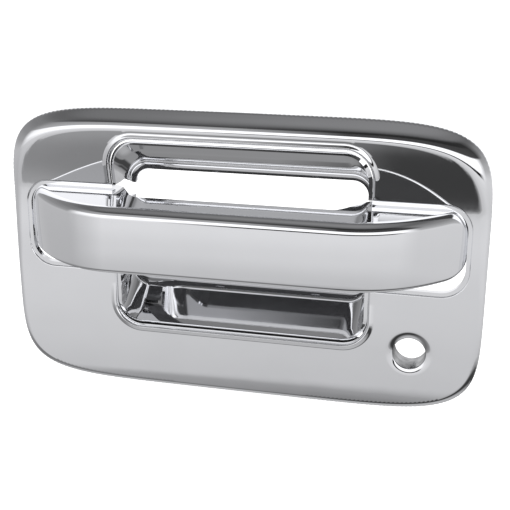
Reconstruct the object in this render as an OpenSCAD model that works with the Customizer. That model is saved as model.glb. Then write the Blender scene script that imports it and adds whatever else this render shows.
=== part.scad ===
// Exterior pull handle for a vehicle door.
// A bright bezel with an open hand pocket carries a bar lever that swings out about a
// shaft low behind the bezel. The lever turns a bellcrank, which pushes the latch rod.
// X is across the handle, Z is up, and Y runs into the door from its outer skin at y = 0.

/* [Bezel] */
// Overall width of the bezel
plate_w = 240; // [230:1:300]
// Overall height of the bezel
plate_h = 146; // [140:1:190]
// How square the bezel's corners are
plate_squareness = 6.2; // [4:0.1:9]
// How far the crown at the top stands out from the door
crown_rise = 10.5; // [8:0.5:14]
// How far the lower face stands out from the door
lower_rise = 3.9; // [3.5:0.1:6]
// Width of the bevel around the edge
bevel_w = 6; // [4:0.5:9]
// Wall thickness of the bezel
bezel_wall = 2.2; // [1.8:0.1:2.6]

/* [Hand pocket] */
// Half width of the pocket mouth
pocket_half = 65.6; // [55:0.2:67]
// Height of the pocket mouth's top edge
pocket_top = 60.5; // [56:0.5:64]
// Height of the pocket mouth's bottom edge, level with the door skin
pocket_bottom = -37; // [-42:0.5:-34]
// Depth of the pocket behind the door skin
pocket_depth = 20; // [14:1:24]
// How far the top wall comes down over its depth
pocket_top_drop = 20; // [10:1:24]
// How far the floor rises over its depth
pocket_floor_rise = 16; // [8:1:18]
// Corner radius of the pocket mouth
pocket_corner = 14; // [8:1:20]
// How far the bead around the pocket stands proud of the face
bead_rise = 0.8; // [0.4:0.1:1.5]
// Width of the bead around the pocket
bead_w = 3.4; // [2.4:0.1:4.5]

/* [Lever slot] */
// Height of the slot's top edge
slot_top = 34.5; // [32:0.5:40]
// Height of the slot's bottom edge
slot_bottom = -11; // [-14:0.5:-9]
// Gap between the lever's end and the slot's end
slot_end_gap = 1.5; // [1:0.1:4]
// Corner radius of the slot
slot_corner = 13; // [6:1:16]

/* [Lock hole] */
// Distance of the lock hole from the middle
lock_x = 86; // [82:1:96]
// Height of the lock hole
lock_z = -42; // [-46:1:-38]
// Radius of the lock hole
lock_r = 8; // [6:0.5:9]
// Length of the lock hole's straight wall
lock_length = 12; // [8:0.5:14]

/* [Lever] */
// Half length of the lever
lever_half = 110.3; // [105:0.1:111]
// Height of the lever's underside
lever_z = 0; // [-2:0.5:2]
// Height of the lever's section
lever_h = 32; // [28:0.5:33]
// How far the lever's face stands out from the door
lever_reach = 40; // [34:1:48]
// How far the lever's tips stand out from the door
lever_tip_reach = 2.5; // [1:0.5:8]
// Half length of the lever's straight stretch
lever_flat = 62; // [45:1:70]
// How tightly the lever's ends turn back
lever_turn = 1.75; // [1.4:0.05:2.4]
// Depth of the bar from front to back at the middle
bar_depth = 24; // [18:1:26]
// How far the lever's ends reach behind the door skin
lever_tail = 5; // [3:0.5:6]
// Wall thickness of the lever's bright cover
cover_wall = 2; // [1.6:0.1:2.4]
// Corner radius of the lever's ends, seen from the front
lever_corner = 9; // [6:0.5:12]
// Size of the roll along the lever's top front edge
lever_roll = 4.5; // [2:0.5:7]
// Thickness of the grip back inside the cover
grip_t = 6; // [5:0.5:8]

/* [Motion] */
// Angle that the lever swings out
lever_travel = 22; // [16:1:24]
// How far the shaft lies behind the door skin
pivot_y = 24; // [23:0.5:28]
// Height of the shaft
pivot_z = -34; // [-36:0.5:-33]
// Radius of the shaft
shaft_r = 3; // [2.5:0.1:3.4]
// Radial running clearance of the turning joints
run_clear = 0.05; // [0.02:0.01:0.1]
// Wall thickness of the bushes
bush_t = 1; // [0.8:0.1:1.4]
// Distance from the shaft up to the bellcrank's pivot
crank_rise = 40; // [38:1:44]
// Length of the bellcrank's output arm
crank_out = 22; // [16:1:26]
// Radius of the latch rod's hole
rod_r = 2.05; // [1.6:0.05:2.6]

/* [Mechanism] */
// Distance from the middle to the lever arms' inner faces
arm_x = 71; // [70.5:0.1:72]
// Width of an arm's hub along the shaft
arm_hub_w = 10; // [8:0.5:11]
// Thickness of an arm's web
arm_web = 4; // [3:0.5:6]
// Width of the bracket's shaft ears
ear_w = 8; // [6:0.5:10]
// Thickness of the bracket's plate
bracket_t = 3; // [2.5:0.5:4]
// Distance of the bracket's front face behind the door skin
bracket_y = 8; // [7:0.5:10]
// Thickness of the bellcrank
crank_t = 3.5; // [3:0.5:5]
// Wire diameter of the return spring
wire_d = 1.8; // [1.4:0.1:2]
// Number of turns in the return spring
spring_turns = 3; // [2:1:3]

/* [Door fixings] */
// Distance of each threaded insert from the middle
insert_x = 92; // [90:1:94]
// Height of the threaded inserts
insert_z = 52; // [48:1:54]
// Radius of the insert's threaded hole
insert_bore_r = 2.5; // [2:0.1:3]
// Thickness of the gasket
gasket_t = 1; // [0.8:0.1:1.5]

/* [Hidden] */
$fn = 48;
eps = 0.01;
edge_step = 5;

// Bezel
half_w = plate_w / 2;
half_h = plate_h / 2;
rim_h = 2;
slot_half = lever_half + slot_end_gap;
pocket_back_half = pocket_half - 2.6;
crown_z = half_h - bevel_w;
lip_w = 5;
seal_inset = 1.2;
seal_w = 3;
boss_r = 6.5;
insert_r = 4.2;
insert_len = 6.5;
far = 60;

// Lock hole: a cone in the face leads into the straight wall
lock_cone = 4;
lock_mouth_y = -lower_rise + 1;
lock_wall = 2.5;

// Lever
lever_top = lever_z + lever_h;
lever_mid_z = lever_z + lever_h / 2;
bar_back = lever_reach - bar_depth;
sweep_in = 48;
sweep_out = 66;
front_steps = 24;
front_spread = 0.8;
back_steps = 30;
foot_t = 4;
foot_in = pocket_half + 3.9;
foot_out = foot_in + 16;
foot_mid = (foot_in + foot_out) / 2;
foot_z = [lever_z + 4, lever_z + 26];
foot_mid_z = (foot_z[0] + foot_z[1]) / 2;
foot_screw_step = 5.4;
screw_r = 1.6;
screw_head_r = 2.6;
screw_head_h = 2;
core_len = 11;
cover_screw_x = [28, 96];
cover_boss_r = 3.6;
cover_screw_len = 11;
head_sink = 2.2;

// Shaft and bushes
bush_r = shaft_r + run_clear + bush_t;
hub_r = bush_r + 5;
ear_r = shaft_r + 5;
ear_out = arm_x - 1.6;
ear_in = ear_out - ear_w;
web_mid = foot_mid;
clip_t = 1;
clip_r = shaft_r + 2.5;
groove_r = shaft_r - 0.5;
clip_gap = 0.6;
spring_r = bush_r + 1.6;
spring_pitch = wire_d + 0.35;
spring_w = spring_turns * spring_pitch + wire_d;
spring_in = arm_x + arm_hub_w + 0.8;
spring_far = spring_in + spring_w - wire_d / 2;
spring_leg_z = pivot_z + spring_r;
shaft_left = spring_in + spring_w + clip_gap;
shaft_right = arm_x + arm_hub_w + clip_gap;
shaft_tail = 2;

// Bellcrank: its fork takes the drive roller, evenly about the line of centres
half_travel = lever_travel / 2;
drive_r = crank_rise / 2;
drive_pin_r = 2.5;
roller_r = 4;
drive_y = pivot_y + drive_r * sin(half_travel);
drive_z = pivot_z + drive_r * cos(half_travel);
crank_y = pivot_y;
crank_z = pivot_z + crank_rise;
crank_pin_r = 3;
crank_bush_r = crank_pin_r + run_clear + bush_t;
crank_hub_r = crank_bush_r + 3;
post_in = spring_in + 4.4;
post_t = 3.2;
crank_in = post_in + post_t + 1.6;
crank_hub_w = crank_t + 1;
fork_clear = 0.3;
fork_wall = 3.5;
fork_angle = atan((drive_y - crank_y) / (crank_z - drive_z));
fork_reach = crank_rise / 2 + roller_r + 1.5;
eye_y = crank_y + crank_out;
stub_r = 2.5;
block_w = 6.5;
block_h = 10;
pin_end = crank_in + crank_hub_w + 0.4;
washer_t = 1;
block_out = crank_in + crank_t + 0.4;
block_mid = block_out + block_w / 2;
block_depth = 8;
stub_end = crank_in - 0.4 - washer_t - 0.6;

// Return spring: the angle on the coil where its moving leg leaves it and just touches
// the drive pin, and the lengths of its legs
leg_touch = spring_r - drive_pin_r - wire_d / 2 - 0.1;
leg_angle = 90 - half_travel + acos(leg_touch / drive_r);
leg_len = drive_r + 3;
coil_end = 90 + 360 * spring_turns;
coil_step = 18;

// Bracket
bracket_back = bracket_y + bracket_t;
fixed_leg_len = pivot_y - bracket_back - 4.2;
bracket_low = -64;
bracket_mid_top = pocket_bottom - 4.5;
bracket_side_top = -15;
bracket_left = 104;
bracket_right = 69;
screw_places = [[-98, -24], [-98, -53], [-52, -56], [52, -56]];
screw_boss_r = 4.4;
pilot_r = 1.5;
pilot_depth = 8;
rib_w = 2.5;
rib_h = 4;
ledge_y = bracket_back + 6;
ledge_t = 2.2;

// Counterweight on the left arm's tail
weight_y = pivot_y + 4;
weight_z = pivot_z - 24;
weight_len = 16;
weight_h = 15;
weight_depth = 12;
weight_out = web_mid - arm_web / 2;
rivet_r = 2;
rivet_head_r = 3.4;
rivet_head_t = 1.6;
rivet_step = 4;

// Rest stops
stop_gap = 0.3;
stop_w = 4;
stop_h = 12;
slot_depth = lever_tail + 2;
side_wall_top = lever_z + (lever_h + stop_h) / 2 + 2;

function sign_pow(v, p) = sign(v) * pow(abs(v), p);

// Point of the bezel's outline at angle a, moved in by g
function edge_point(a, g) = [
    (half_w - g) * sign_pow(cos(a), 2 / plate_squareness),
    (half_h - g) * sign_pow(sin(a), 2 / plate_squareness)
];

// How far in front of the door skin the lever's face lies at x
function lever_front(x) =
    lever_tip_reach + (lever_reach - lever_tip_reach)
    * (1 - pow(max(0, abs(x) - lever_flat) / (lever_half - lever_flat), lever_turn));

function smooth(u) = let(t = max(0, min(1, u))) t * t * (3 - 2 * t);

// Place of the lever's back at x: the bar is slim in the middle and deep at its ends
function lever_back(x) =
    -bar_back + (bar_back + lever_tail) * smooth((abs(x) - sweep_in) / (sweep_out - sweep_in));

// Front of the plan view, drawn in by g all round, its points closer together at the ends
function plan_front(g) = [
    for (i = [-front_steps:front_steps])
        let(x = (lever_half - g) * sign(i) * pow(abs(i) / front_steps, front_spread))
        [x, -lever_front(x * lever_half / (lever_half - g)) + g]
];

function plan_back(from) = [
    for (i = [back_steps:-1:-back_steps])
        let(x = from * i / back_steps)
        [x, lever_back(x)]
];

// Turns a flat XZ drawing into a slab from y0 to y1
module slab(y0, y1) {
    translate([0, y1, 0]) rotate([90, 0, 0]) linear_extrude(y1 - y0) children();
}

// Turns a drawing in Y and Z into a block from x0 to x1
module across(x0, x1) {
    translate([x0, 0, 0]) rotate([90, 0, 90]) linear_extrude(x1 - x0) children();
}

module rod_y(x, z, r, y0, y1, fn = 48) {
    translate([x, y0, z]) rotate([-90, 0, 0]) cylinder(h = y1 - y0, r = r, $fn = fn);
}

module rod_x(x0, x1, y, z, r) {
    translate([x0, y, z]) rotate([0, 90, 0]) cylinder(h = x1 - x0, r = r);
}

module ring_x(x0, x1, y, z, r_out, r_in) {
    difference() {
        rod_x(x0, x1, y, z, r_out);
        rod_x(x0 - 1, x1 + 1, y, z, r_in);
    }
}

module bezel_outline(g) {
    polygon([for (a = [0:edge_step:359]) edge_point(a, g)]);
}

module rounded_rect(half, low, high, r) {
    translate([-half + r, low]) square([2 * (half - r), high - low]);
    translate([-half, low + r]) square([2 * half, high - low - 2 * r]);
    for (sx = [-1, 1])
        for (z = [low + r, high - r])
            translate([sx * (half - r), z]) circle(r, $fn = 48);
}

// Bezel

// Side view of the space behind the face, set back by g
module face_profile(g) {
    polygon([
        [far, -far - half_h], [far, far + half_h], [-crown_rise + g, far + half_h],
        [-crown_rise + g, crown_z], [-crown_rise + 0.6 + g, pocket_top],
        [-lower_rise - 1.1 + g, slot_top], [-lower_rise - 0.3 + g, 4],
        [-lower_rise + g, slot_bottom], [-lower_rise + 0.3 + g, lock_z],
        [-lower_rise + 0.5 + g, -half_h + 8], [-lower_rise + 0.7 + g, -half_h],
        [-lower_rise + 0.7 + g, -far - half_h]
    ]);
}

// The bezel's form from its edge at the gasket to its face, drawn in by g
module face_body(g) {
    intersection() {
        hull() {
            slab(-gasket_t - rim_h, -gasket_t + (g > 0 ? gasket_t : 0)) bezel_outline(g);
            slab(-crown_rise - 1 + g, -crown_rise + g) bezel_outline(bevel_w + g);
        }
        across(-half_w - 1, half_w + 1) face_profile(g);
    }
}

// The pocket's form, flared towards its mouth, drawn out by g
module pocket_form(g, back) {
    mouth_y = -crown_rise - 2;
    depth = pocket_depth - mouth_y;
    floor_at_mouth = pocket_bottom + pocket_floor_rise / pocket_depth * mouth_y;
    hull() {
        slab(mouth_y, mouth_y + eps)
            rounded_rect(pocket_half + g, floor_at_mouth - g, pocket_top + g, pocket_corner, $fn = 32);
        slab(pocket_depth + back - eps, pocket_depth + back)
            rounded_rect(
                pocket_back_half + g, pocket_bottom + pocket_floor_rise - g,
                pocket_top - pocket_top_drop + g, pocket_corner - 4, $fn = 32
            );
    }
}

module slot_form(g) {
    rounded_rect(slot_half + g, slot_bottom - g, slot_top + g, slot_corner + g);
}

// Everything behind the bezel's face moved back by g, across the middle of the bezel
module behind_face(g) {
    across(-half_w + bevel_w, half_w - bevel_w) face_profile(g);
}

module bezel() {
    lock_end = lock_mouth_y + lock_length;
    side_cut = pocket_half + bezel_wall + 1;
    color("silver") difference() {
        union() {
            intersection() {
                face_body(0);
                union() {
                    difference() {
                        slab(-2 * crown_rise, 0) square(2 * plate_w, center = true);
                        face_body(bezel_wall);
                    }
                    // Return wall around the lever slot
                    slab(-crown_rise, 0) slot_form(bezel_wall);
                    // Flat lip that the gasket seats on
                    slab(-gasket_t - rim_h, 0) difference() {
                        square(2 * plate_w, center = true);
                        bezel_outline(lip_w);
                    }
                }
            }
            // Pocket walls, and the bead where they meet the face
            intersection() {
                pocket_form(bezel_wall, 0);
                behind_face(0);
            }
            intersection() {
                pocket_form(bead_w, 0);
                behind_face(-bead_rise);
                slab(-2 * crown_rise, -gasket_t - rim_h) square(plate_w, center = true);
            }
            rod_y(lock_x, lock_z, lock_r + lock_wall, -lower_rise + 1, lock_end);
            intersection() {
                union() {
                    for (side = [-1, 1])
                        rod_y(side * insert_x, insert_z, boss_r, -crown_rise, -gasket_t);
                    for (p = screw_places) rod_y(p[0], p[1], screw_boss_r, -lower_rise, bracket_y);
                }
                behind_face(1);
            }
        }
        pocket_form(0, 1);
        slab(-far, slot_depth) slot_form(0);
        // The side walls stop short of the slot's top, so that light shows over the lever's ends
        slab(-far, pocket_depth + 1)
            translate([-side_cut, side_wall_top]) square([2 * side_cut, slot_top - side_wall_top]);
        rod_y(lock_x, lock_z, lock_r, lock_mouth_y - 1, lock_end + 1);
        translate([lock_x, lock_mouth_y - lock_cone, lock_z]) rotate([-90, 0, 0])
            cylinder(h = lock_cone, r1 = 2 * lock_cone + lock_r, r2 = lock_r);
        for (side = [-1, 1])
            rod_y(side * insert_x, insert_z, insert_r, -insert_len, 1);
        for (p = screw_places)
            rod_y(p[0], p[1], pilot_r, bracket_y - pilot_depth, bracket_y + 1);
    }
}

module gasket() {
    color("dimgray") slab(-gasket_t, 0) difference() {
        bezel_outline(seal_inset);
        bezel_outline(seal_inset + seal_w);
    }
}

module door_inserts() {
    color("goldenrod") for (side = [-1, 1]) difference() {
        rod_y(side * insert_x, insert_z, insert_r, -insert_len, 0);
        rod_y(side * insert_x, insert_z, insert_bore_r, -insert_len - 1, 1);
    }
}

// Bracket and shaft

module ear_profile() {
    difference() {
        union() {
            translate([pivot_y, pivot_z]) circle(ear_r);
            polygon([
                [bracket_y, bracket_mid_top], [bracket_y, bracket_mid_top - 14],
                [pivot_y + 2, pivot_z - ear_r + 0.3], [pivot_y - 3, pivot_z + ear_r - 0.6]
            ]);
        }
        translate([pivot_y, pivot_z]) circle(shaft_r);
    }
}

// Post that carries the bellcrank, curved ahead of the drive pin's path
module post_profile() {
    difference() {
        union() {
            translate([crank_y, crank_z]) circle(crank_pin_r + 3);
            polygon([
                [bracket_y, pivot_z], [bracket_y, pivot_z + 22], [crank_y - 5.6, crank_z + 2],
                [crank_y + 2, crank_z - 5.6], [bracket_y + 9, crank_z - 15],
                [bracket_y + 7, crank_z - 22], [bracket_y + 6, pivot_z]
            ]);
        }
        translate([crank_y, crank_z]) circle(crank_pin_r);
    }
}

module pivot_bracket() {
    color([0.12, 0.12, 0.13]) difference() {
        union() {
            slab(bracket_y, bracket_back) {
                translate([-bracket_left, bracket_low])
                    square([bracket_left + bracket_right, bracket_mid_top - bracket_low]);
                translate([-bracket_left, bracket_low])
                    square([bracket_left - arm_x - arm_hub_w - 2, bracket_side_top - bracket_low]);
            }
            for (x = [-ear_out, ear_in]) across(x, x + ear_w) ear_profile();
            across(-post_in - post_t, -post_in) post_profile();
            ring_x(-crank_in + 0.1, -post_in, crank_y, crank_z, crank_pin_r + 2, crank_pin_r);
            // Stiffening rib along the lower edge
            slab(bracket_y, bracket_back + rib_h)
                translate([-bracket_left, bracket_low])
                    square([bracket_left + bracket_right, rib_w]);
            // Ledge under the return spring's fixed leg
            translate([-spring_far - wire_d, bracket_y, spring_leg_z - wire_d / 2 - ledge_t])
                cube([2 * wire_d, ledge_y - bracket_y, ledge_t]);
        }
        for (p = screw_places)
            rod_y(p[0], p[1], screw_r + 0.4, bracket_y - 1, bracket_back + 6);
    }
}

module bracket_screws() {
    color("gray") for (p = screw_places) {
        rod_y(p[0], p[1], pilot_r, bracket_y - pilot_depth + 1, bracket_back + eps);
        difference() {
            rod_y(p[0], p[1], 4, bracket_back, bracket_back + 2.6);
            rod_y(p[0], p[1], 1.8, bracket_back + 1, bracket_back + 4, 6);
        }
    }
}

module pivot_shaft() {
    color("lightsteelblue") difference() {
        rod_x(-shaft_left - clip_t - shaft_tail, shaft_right + clip_t + shaft_tail, pivot_y, pivot_z, shaft_r);
        for (x = [-shaft_left - clip_t, shaft_right])
            ring_x(x, x + clip_t, pivot_y, pivot_z, shaft_r + 1, groove_r);
    }
}

module shaft_clips() {
    color("slategray") for (x = [-shaft_left - clip_t, shaft_right]) difference() {
        ring_x(x, x + clip_t, pivot_y, pivot_z, clip_r, groove_r);
        translate([x - 1, pivot_y, pivot_z - groove_r * 0.8])
            cube([clip_t + 2, clip_r + 1, groove_r * 1.6]);
    }
}

// Rubber pads on the front edges of the pocket's side walls, where the lever comes to rest
module bump_stops() {
    wall_mid = pocket_edge(slot_depth) + bezel_wall / 2;
    color([0.1, 0.1, 0.1]) for (side = [-1, 1])
        translate([side * wall_mid - stop_w / 2, lever_tail + stop_gap, lever_z + (lever_h - stop_h) / 2])
            cube([stop_w, slot_depth - lever_tail - stop_gap, stop_h]);
}

// Return spring: a torsion coil about the shaft. One leg pushes the drive pin back, and
// the other bears on the bracket's ledge.

function on_circle(r, a) = [pivot_y + r * cos(a), pivot_z + r * sin(a)];

function coil_point(a) =
    let(c = on_circle(spring_r, a), f = (a - leg_angle) / (coil_end - leg_angle))
    [-spring_in - wire_d / 2 - f * (spring_w - wire_d), c[0], c[1]];

function spring_path() = concat(
    [coil_point(leg_angle) + leg_len * [0, sin(leg_angle), -cos(leg_angle)]],
    [for (a = [leg_angle:coil_step:coil_end - 1]) coil_point(a)],
    [coil_point(coil_end), coil_point(coil_end) - [0, fixed_leg_len, 0]]
);

function unit(v) = v / norm(v);

// Sweeps a round wire along a path that never runs along X
module wire(path, r, sides) {
    n = len(path);
    rings = [
        for (i = [0:n - 1])
            let(
                t = unit(path[min(i + 1, n - 1)] - path[max(i - 1, 0)]),
                u = unit(cross(t, [1, 0, 0])),
                v = cross(u, t)
            )
            for (k = [0:sides - 1])
                path[i] + r * (cos(360 * k / sides) * u + sin(360 * k / sides) * v)
    ];
    walls = [
        for (i = [0:n - 2])
            for (k = [0:sides - 1])
                let(k2 = (k + 1) % sides)
                [i * sides + k, i * sides + k2, (i + 1) * sides + k2, (i + 1) * sides + k]
    ];
    caps = [
        [for (k = [sides - 1:-1:0]) k],
        [for (k = [0:sides - 1]) (n - 1) * sides + k]
    ];
    polyhedron(rings, concat(walls, caps));
}

module return_spring() {
    color("gray") wire(spring_path(), wire_d / 2, 8);
}

module bellcrank_pin() {
    color("lightsteelblue") difference() {
        union() {
            rod_x(-post_in, -post_in + 2, crank_y, crank_z, crank_pin_r + 2);
            rod_x(-pin_end - clip_t - 1.5, -post_in, crank_y, crank_z, crank_pin_r);
        }
        ring_x(-pin_end - clip_t, -pin_end, crank_y, crank_z, crank_pin_r + 1, crank_pin_r - 0.5);
    }
}

module bellcrank_pin_clip() {
    color("slategray") difference() {
        ring_x(-pin_end - clip_t, -pin_end, crank_y, crank_z, crank_pin_r + 2.5, crank_pin_r - 0.5);
        translate([-pin_end - clip_t - 1, crank_y, crank_z - 2]) cube([clip_t + 2, 10, 4]);
    }
}

// Lever

module plan_slab(z0, z1, g) {
    back = [[lever_half - g, far], [-lever_half + g, far]];
    translate([0, 0, z0]) linear_extrude(z1 - z0) polygon(concat(plan_front(g), back));
}

// Half width of the pocket's mouth at depth y
function pocket_edge(y) =
    pocket_half - (pocket_half - pocket_back_half) * (y + crown_rise + 2) / (pocket_depth + crown_rise + 2);

// Outer form of the lever drawn in by g, with its top front edge rolled over
module lever_form(g) {
    intersection() {
        hull() {
            plan_slab(lever_z + g, lever_top - lever_roll, g);
            plan_slab(lever_top - g - eps, lever_top - g, lever_roll + g / 2);
        }
        slab(-far, far) rounded_rect(lever_half - g, lever_z + g, lever_top - g, lever_corner - g);
    }
}

// Plan view of the band between the lever's back and a line t in front of it
module back_band(t) {
    reach = lever_half + 1;
    ahead = [for (p = plan_back(-reach)) [p[0], p[1] - t]];
    polygon(concat(plan_back(reach), ahead));
}

module behind_lever() {
    linear_extrude(plate_h, center = true)
        polygon(concat(plan_back(lever_half + 1), [[-far * 3, far * 2], [far * 3, far * 2]]));
}

module cover_boss(x) {
    rod_y(x, lever_mid_z, cover_boss_r, -lever_reach, lever_back(x) - grip_t);
}

module lever_cover() {
    color("gainsboro") difference() {
        union() {
            difference() {
                lever_form(0);
                lever_form(cover_wall);
            }
            intersection() {
                lever_form(cover_wall / 2);
                for (x = cover_screw_x)
                    for (side = [-1, 1])
                        cover_boss(side * x);
            }
        }
        behind_lever();
        for (x = cover_screw_x)
            for (side = [-1, 1])
                rod_y(side * x, lever_mid_z, screw_r, lever_back(x) - head_sink - cover_screw_len, far);
    }
}

module grip_back() {
    color([0.13, 0.13, 0.14]) difference() {
        intersection() {
            lever_form(cover_wall);
            union() {
                translate([0, 0, lever_z]) linear_extrude(lever_h) back_band(grip_t);
                for (side = [-1, 1])
                    translate([side * foot_mid - (foot_out - foot_in) / 2, lever_tail - core_len - 1, lever_z])
                        cube([foot_out - foot_in, core_len + 0.5, lever_h]);
            }
            translate([0, 0, lever_z + cover_wall]) cube([4 * far, 4 * far, 2 * lever_h], center = true);
        }
        behind_lever();
        for (side = [-1, 1]) {
            for (dx = [-1, 1])
                rod_y(side * foot_mid + dx * foot_screw_step, foot_mid_z, screw_r, lever_tail - core_len, far);
            for (x = cover_screw_x) {
                rod_y(side * x, lever_mid_z, screw_r, -far, far);
                rod_y(side * x, lever_mid_z, screw_head_r + 0.3, lever_back(x) - head_sink, far);
            }
        }
    }
}

module screw_y(x, z, head_y, length) {
    rod_y(x, z, screw_r, head_y - length, head_y + eps);
    difference() {
        rod_y(x, z, screw_head_r, head_y, head_y + screw_head_h);
        rod_y(x, z, 1.2, head_y + 0.8, head_y + screw_head_h + 1, 6);
    }
}

module arm_screws() {
    color("gray")
        for (side = [-1, 1])
            for (dx = [-foot_screw_step, foot_screw_step])
                screw_y(side * foot_mid + dx, foot_mid_z, lever_tail + foot_t, foot_t + core_len - 1);
}

module cover_screws() {
    color("gray")
        for (side = [-1, 1])
            for (x = cover_screw_x)
                screw_y(side * x, lever_mid_z, lever_back(x) - head_sink, cover_screw_len);
}

// Side view of an arm from the lever's foot to the shaft's hub
module arm_profile() {
    translate([pivot_y, pivot_z]) circle(hub_r - 0.5);
    polygon([
        [lever_tail, foot_z[0] + 1], [lever_tail, foot_z[1] - 1], [pivot_y - 8, foot_z[1] - 1],
        [pivot_y + 3, foot_mid_z - 1], [pivot_y + 8, lever_z + 4], [pivot_y + hub_r, pivot_z + 10],
        [pivot_y + hub_r - 0.3, pivot_z], [pivot_y - hub_r + 0.3, pivot_z],
        [pivot_y - hub_r, pivot_z + 28], [pivot_y - hub_r - 3, foot_z[0] + 1]
    ]);
}

module arm(side) {
    difference() {
        union() {
            across(side * web_mid - arm_web / 2, side * web_mid + arm_web / 2) arm_profile();
            rod_x(side * (arm_x + arm_hub_w / 2) - arm_hub_w / 2,
                side * (arm_x + arm_hub_w / 2) + arm_hub_w / 2, pivot_y, pivot_z, hub_r);
            translate([side * foot_mid - (foot_out - foot_in) / 2, lever_tail, foot_z[0]])
                cube([foot_out - foot_in, foot_t, foot_z[1] - foot_z[0]]);
            children();
        }
        rod_x(-half_w, half_w, pivot_y, pivot_z, bush_r);
        for (dx = [-1, 1])
            rod_y(side * foot_mid + dx * foot_screw_step, foot_mid_z, screw_r + 0.3, lever_tail - 1, far);
    }
}

// The left arm also carries the drive pin and, on a tail below the shaft, the counterweight
module left_arm() {
    color("darkgray") difference() {
        arm(-1) across(-web_mid - arm_web / 2, -web_mid + arm_web / 2) polygon([
            [pivot_y - hub_r + 2, pivot_z], [weight_y - weight_depth / 2, weight_z + weight_h / 2],
            [weight_y - weight_depth / 2, weight_z - weight_h / 2],
            [weight_y + weight_depth / 2, weight_z - weight_h / 2],
            [pivot_y + hub_r - 0.5, pivot_z]
        ]);
        rod_x(-half_w, -1, drive_y, drive_z, drive_pin_r);
        for (dz = [-1, 1]) rod_x(-half_w, -1, weight_y, weight_z + dz * rivet_step, rivet_r);
    }
}

module right_arm() {
    color("darkgray") arm(1);
}

// Flanged bush in an arm's hub; its flange keeps the hub off the bracket's ear
module arm_bush(side) {
    outer = side * (arm_x + arm_hub_w);
    inner = side * arm_x;
    flange = side * (ear_out + 0.2);
    color("peru") difference() {
        union() {
            rod_x(min(inner, outer), max(inner, outer), pivot_y, pivot_z, bush_r);
            rod_x(min(inner, flange), max(inner, flange), pivot_y, pivot_z, bush_r + 2.5);
        }
        rod_x(-half_w, half_w, pivot_y, pivot_z, shaft_r + run_clear);
    }
}

module left_bush() {
    arm_bush(-1);
}

module right_bush() {
    arm_bush(1);
}

module counterweight() {
    color("dimgray") difference() {
        translate([-weight_out, weight_y - weight_depth / 2, weight_z - weight_h / 2])
            cube([weight_len, weight_depth, weight_h]);
        for (dz = [-1, 1]) rod_x(-half_w, -1, weight_y, weight_z + dz * rivet_step, rivet_r);
    }
}

module counterweight_rivets() {
    left = -web_mid - arm_web / 2;
    right = -weight_out + weight_len;
    color("silver") for (dz = [-1, 1]) {
        z = weight_z + dz * rivet_step;
        rod_x(left - eps, right + eps, weight_y, z, rivet_r);
        rod_x(left - rivet_head_t, left, weight_y, z, rivet_head_r);
        rod_x(right, right + rivet_head_t, weight_y, z, rivet_head_r);
    }
}

module drive_pin() {
    inner = -web_mid + arm_web / 2;
    color("lightsteelblue") {
        rod_x(-crank_in - crank_t - 1.2, inner + eps, drive_y, drive_z, drive_pin_r);
        rod_x(inner, inner + 1.5, drive_y, drive_z, drive_pin_r + 1.5);
        rod_x(-crank_in + 0.4, -crank_in + 1.2, drive_y, drive_z, drive_pin_r + 0.8);
        rod_x(-crank_in - crank_t - 1.2, -crank_in - crank_t - 0.4, drive_y, drive_z, drive_pin_r + 0.8);
    }
}

module drive_sleeve() {
    color("whitesmoke")
        ring_x(-crank_in - crank_t - 0.4, -crank_in + 0.4, drive_y, drive_z, roller_r, drive_pin_r);
}

// Bellcrank and rod clip

module fork_profile() {
    half = roller_r + fork_clear + fork_wall;
    slot = roller_r + fork_clear;
    inner_end = drive_r - 0.6;
    translate([crank_y, crank_z]) rotate(fork_angle) difference() {
        translate([-half, -fork_reach]) square([2 * half, fork_reach]);
        translate([-slot, -fork_reach - 1]) square([2 * slot, fork_reach + 1 - inner_end]);
        translate([0, -inner_end]) circle(slot);
    }
}

module bellcrank() {
    eye_r = stub_r + 3;
    color("lightgray") difference() {
        union() {
            across(-crank_in - crank_t, -crank_in) {
                fork_profile();
                polygon([
                    [crank_y, crank_z + crank_hub_r], [crank_y, crank_z - crank_hub_r],
                    [eye_y, crank_z - eye_r], [eye_y, crank_z + eye_r]
                ]);
                translate([eye_y, crank_z]) circle(eye_r);
            }
            rod_x(-crank_in - crank_hub_w, -crank_in, crank_y, crank_z, crank_hub_r);
        }
        rod_x(-half_w, -1, crank_y, crank_z, crank_bush_r);
        rod_x(-half_w, -1, eye_y, crank_z, stub_r + run_clear);
    }
}

module bellcrank_bush() {
    color("peru") ring_x(
        -crank_in - crank_hub_w, -crank_in, crank_y, crank_z, crank_bush_r, crank_pin_r + run_clear
    );
}

// Swivel block with a stub through the bellcrank's eye and a hole for the latch rod
module rod_clip() {
    color([0.85, 0.82, 0.7]) difference() {
        union() {
            translate([-block_out - block_w, eye_y - block_depth / 2, crank_z - block_h / 2])
                cube([block_w, block_depth, block_h]);
            rod_x(-block_out - 1, -stub_end, eye_y, crank_z, stub_r);
        }
        translate([-block_mid, eye_y, crank_z]) cylinder(h = 2 * block_h, r = rod_r, center = true);
    }
}

module rod_clip_washer() {
    color("slategray")
        ring_x(-crank_in + 0.4, -crank_in + 0.4 + washer_t, eye_y, crank_z, stub_r + 2, stub_r);
}

bezel();
gasket();
door_inserts();
pivot_bracket();
bracket_screws();
pivot_shaft();
shaft_clips();
bump_stops();
return_spring();
bellcrank_pin();
bellcrank_pin_clip();
lever_cover();
grip_back();
left_arm();
right_arm();
arm_screws();
cover_screws();
left_bush();
right_bush();
counterweight();
counterweight_rivets();
drive_pin();
drive_sleeve();
bellcrank();
bellcrank_bush();
rod_clip();
rod_clip_washer();
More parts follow.
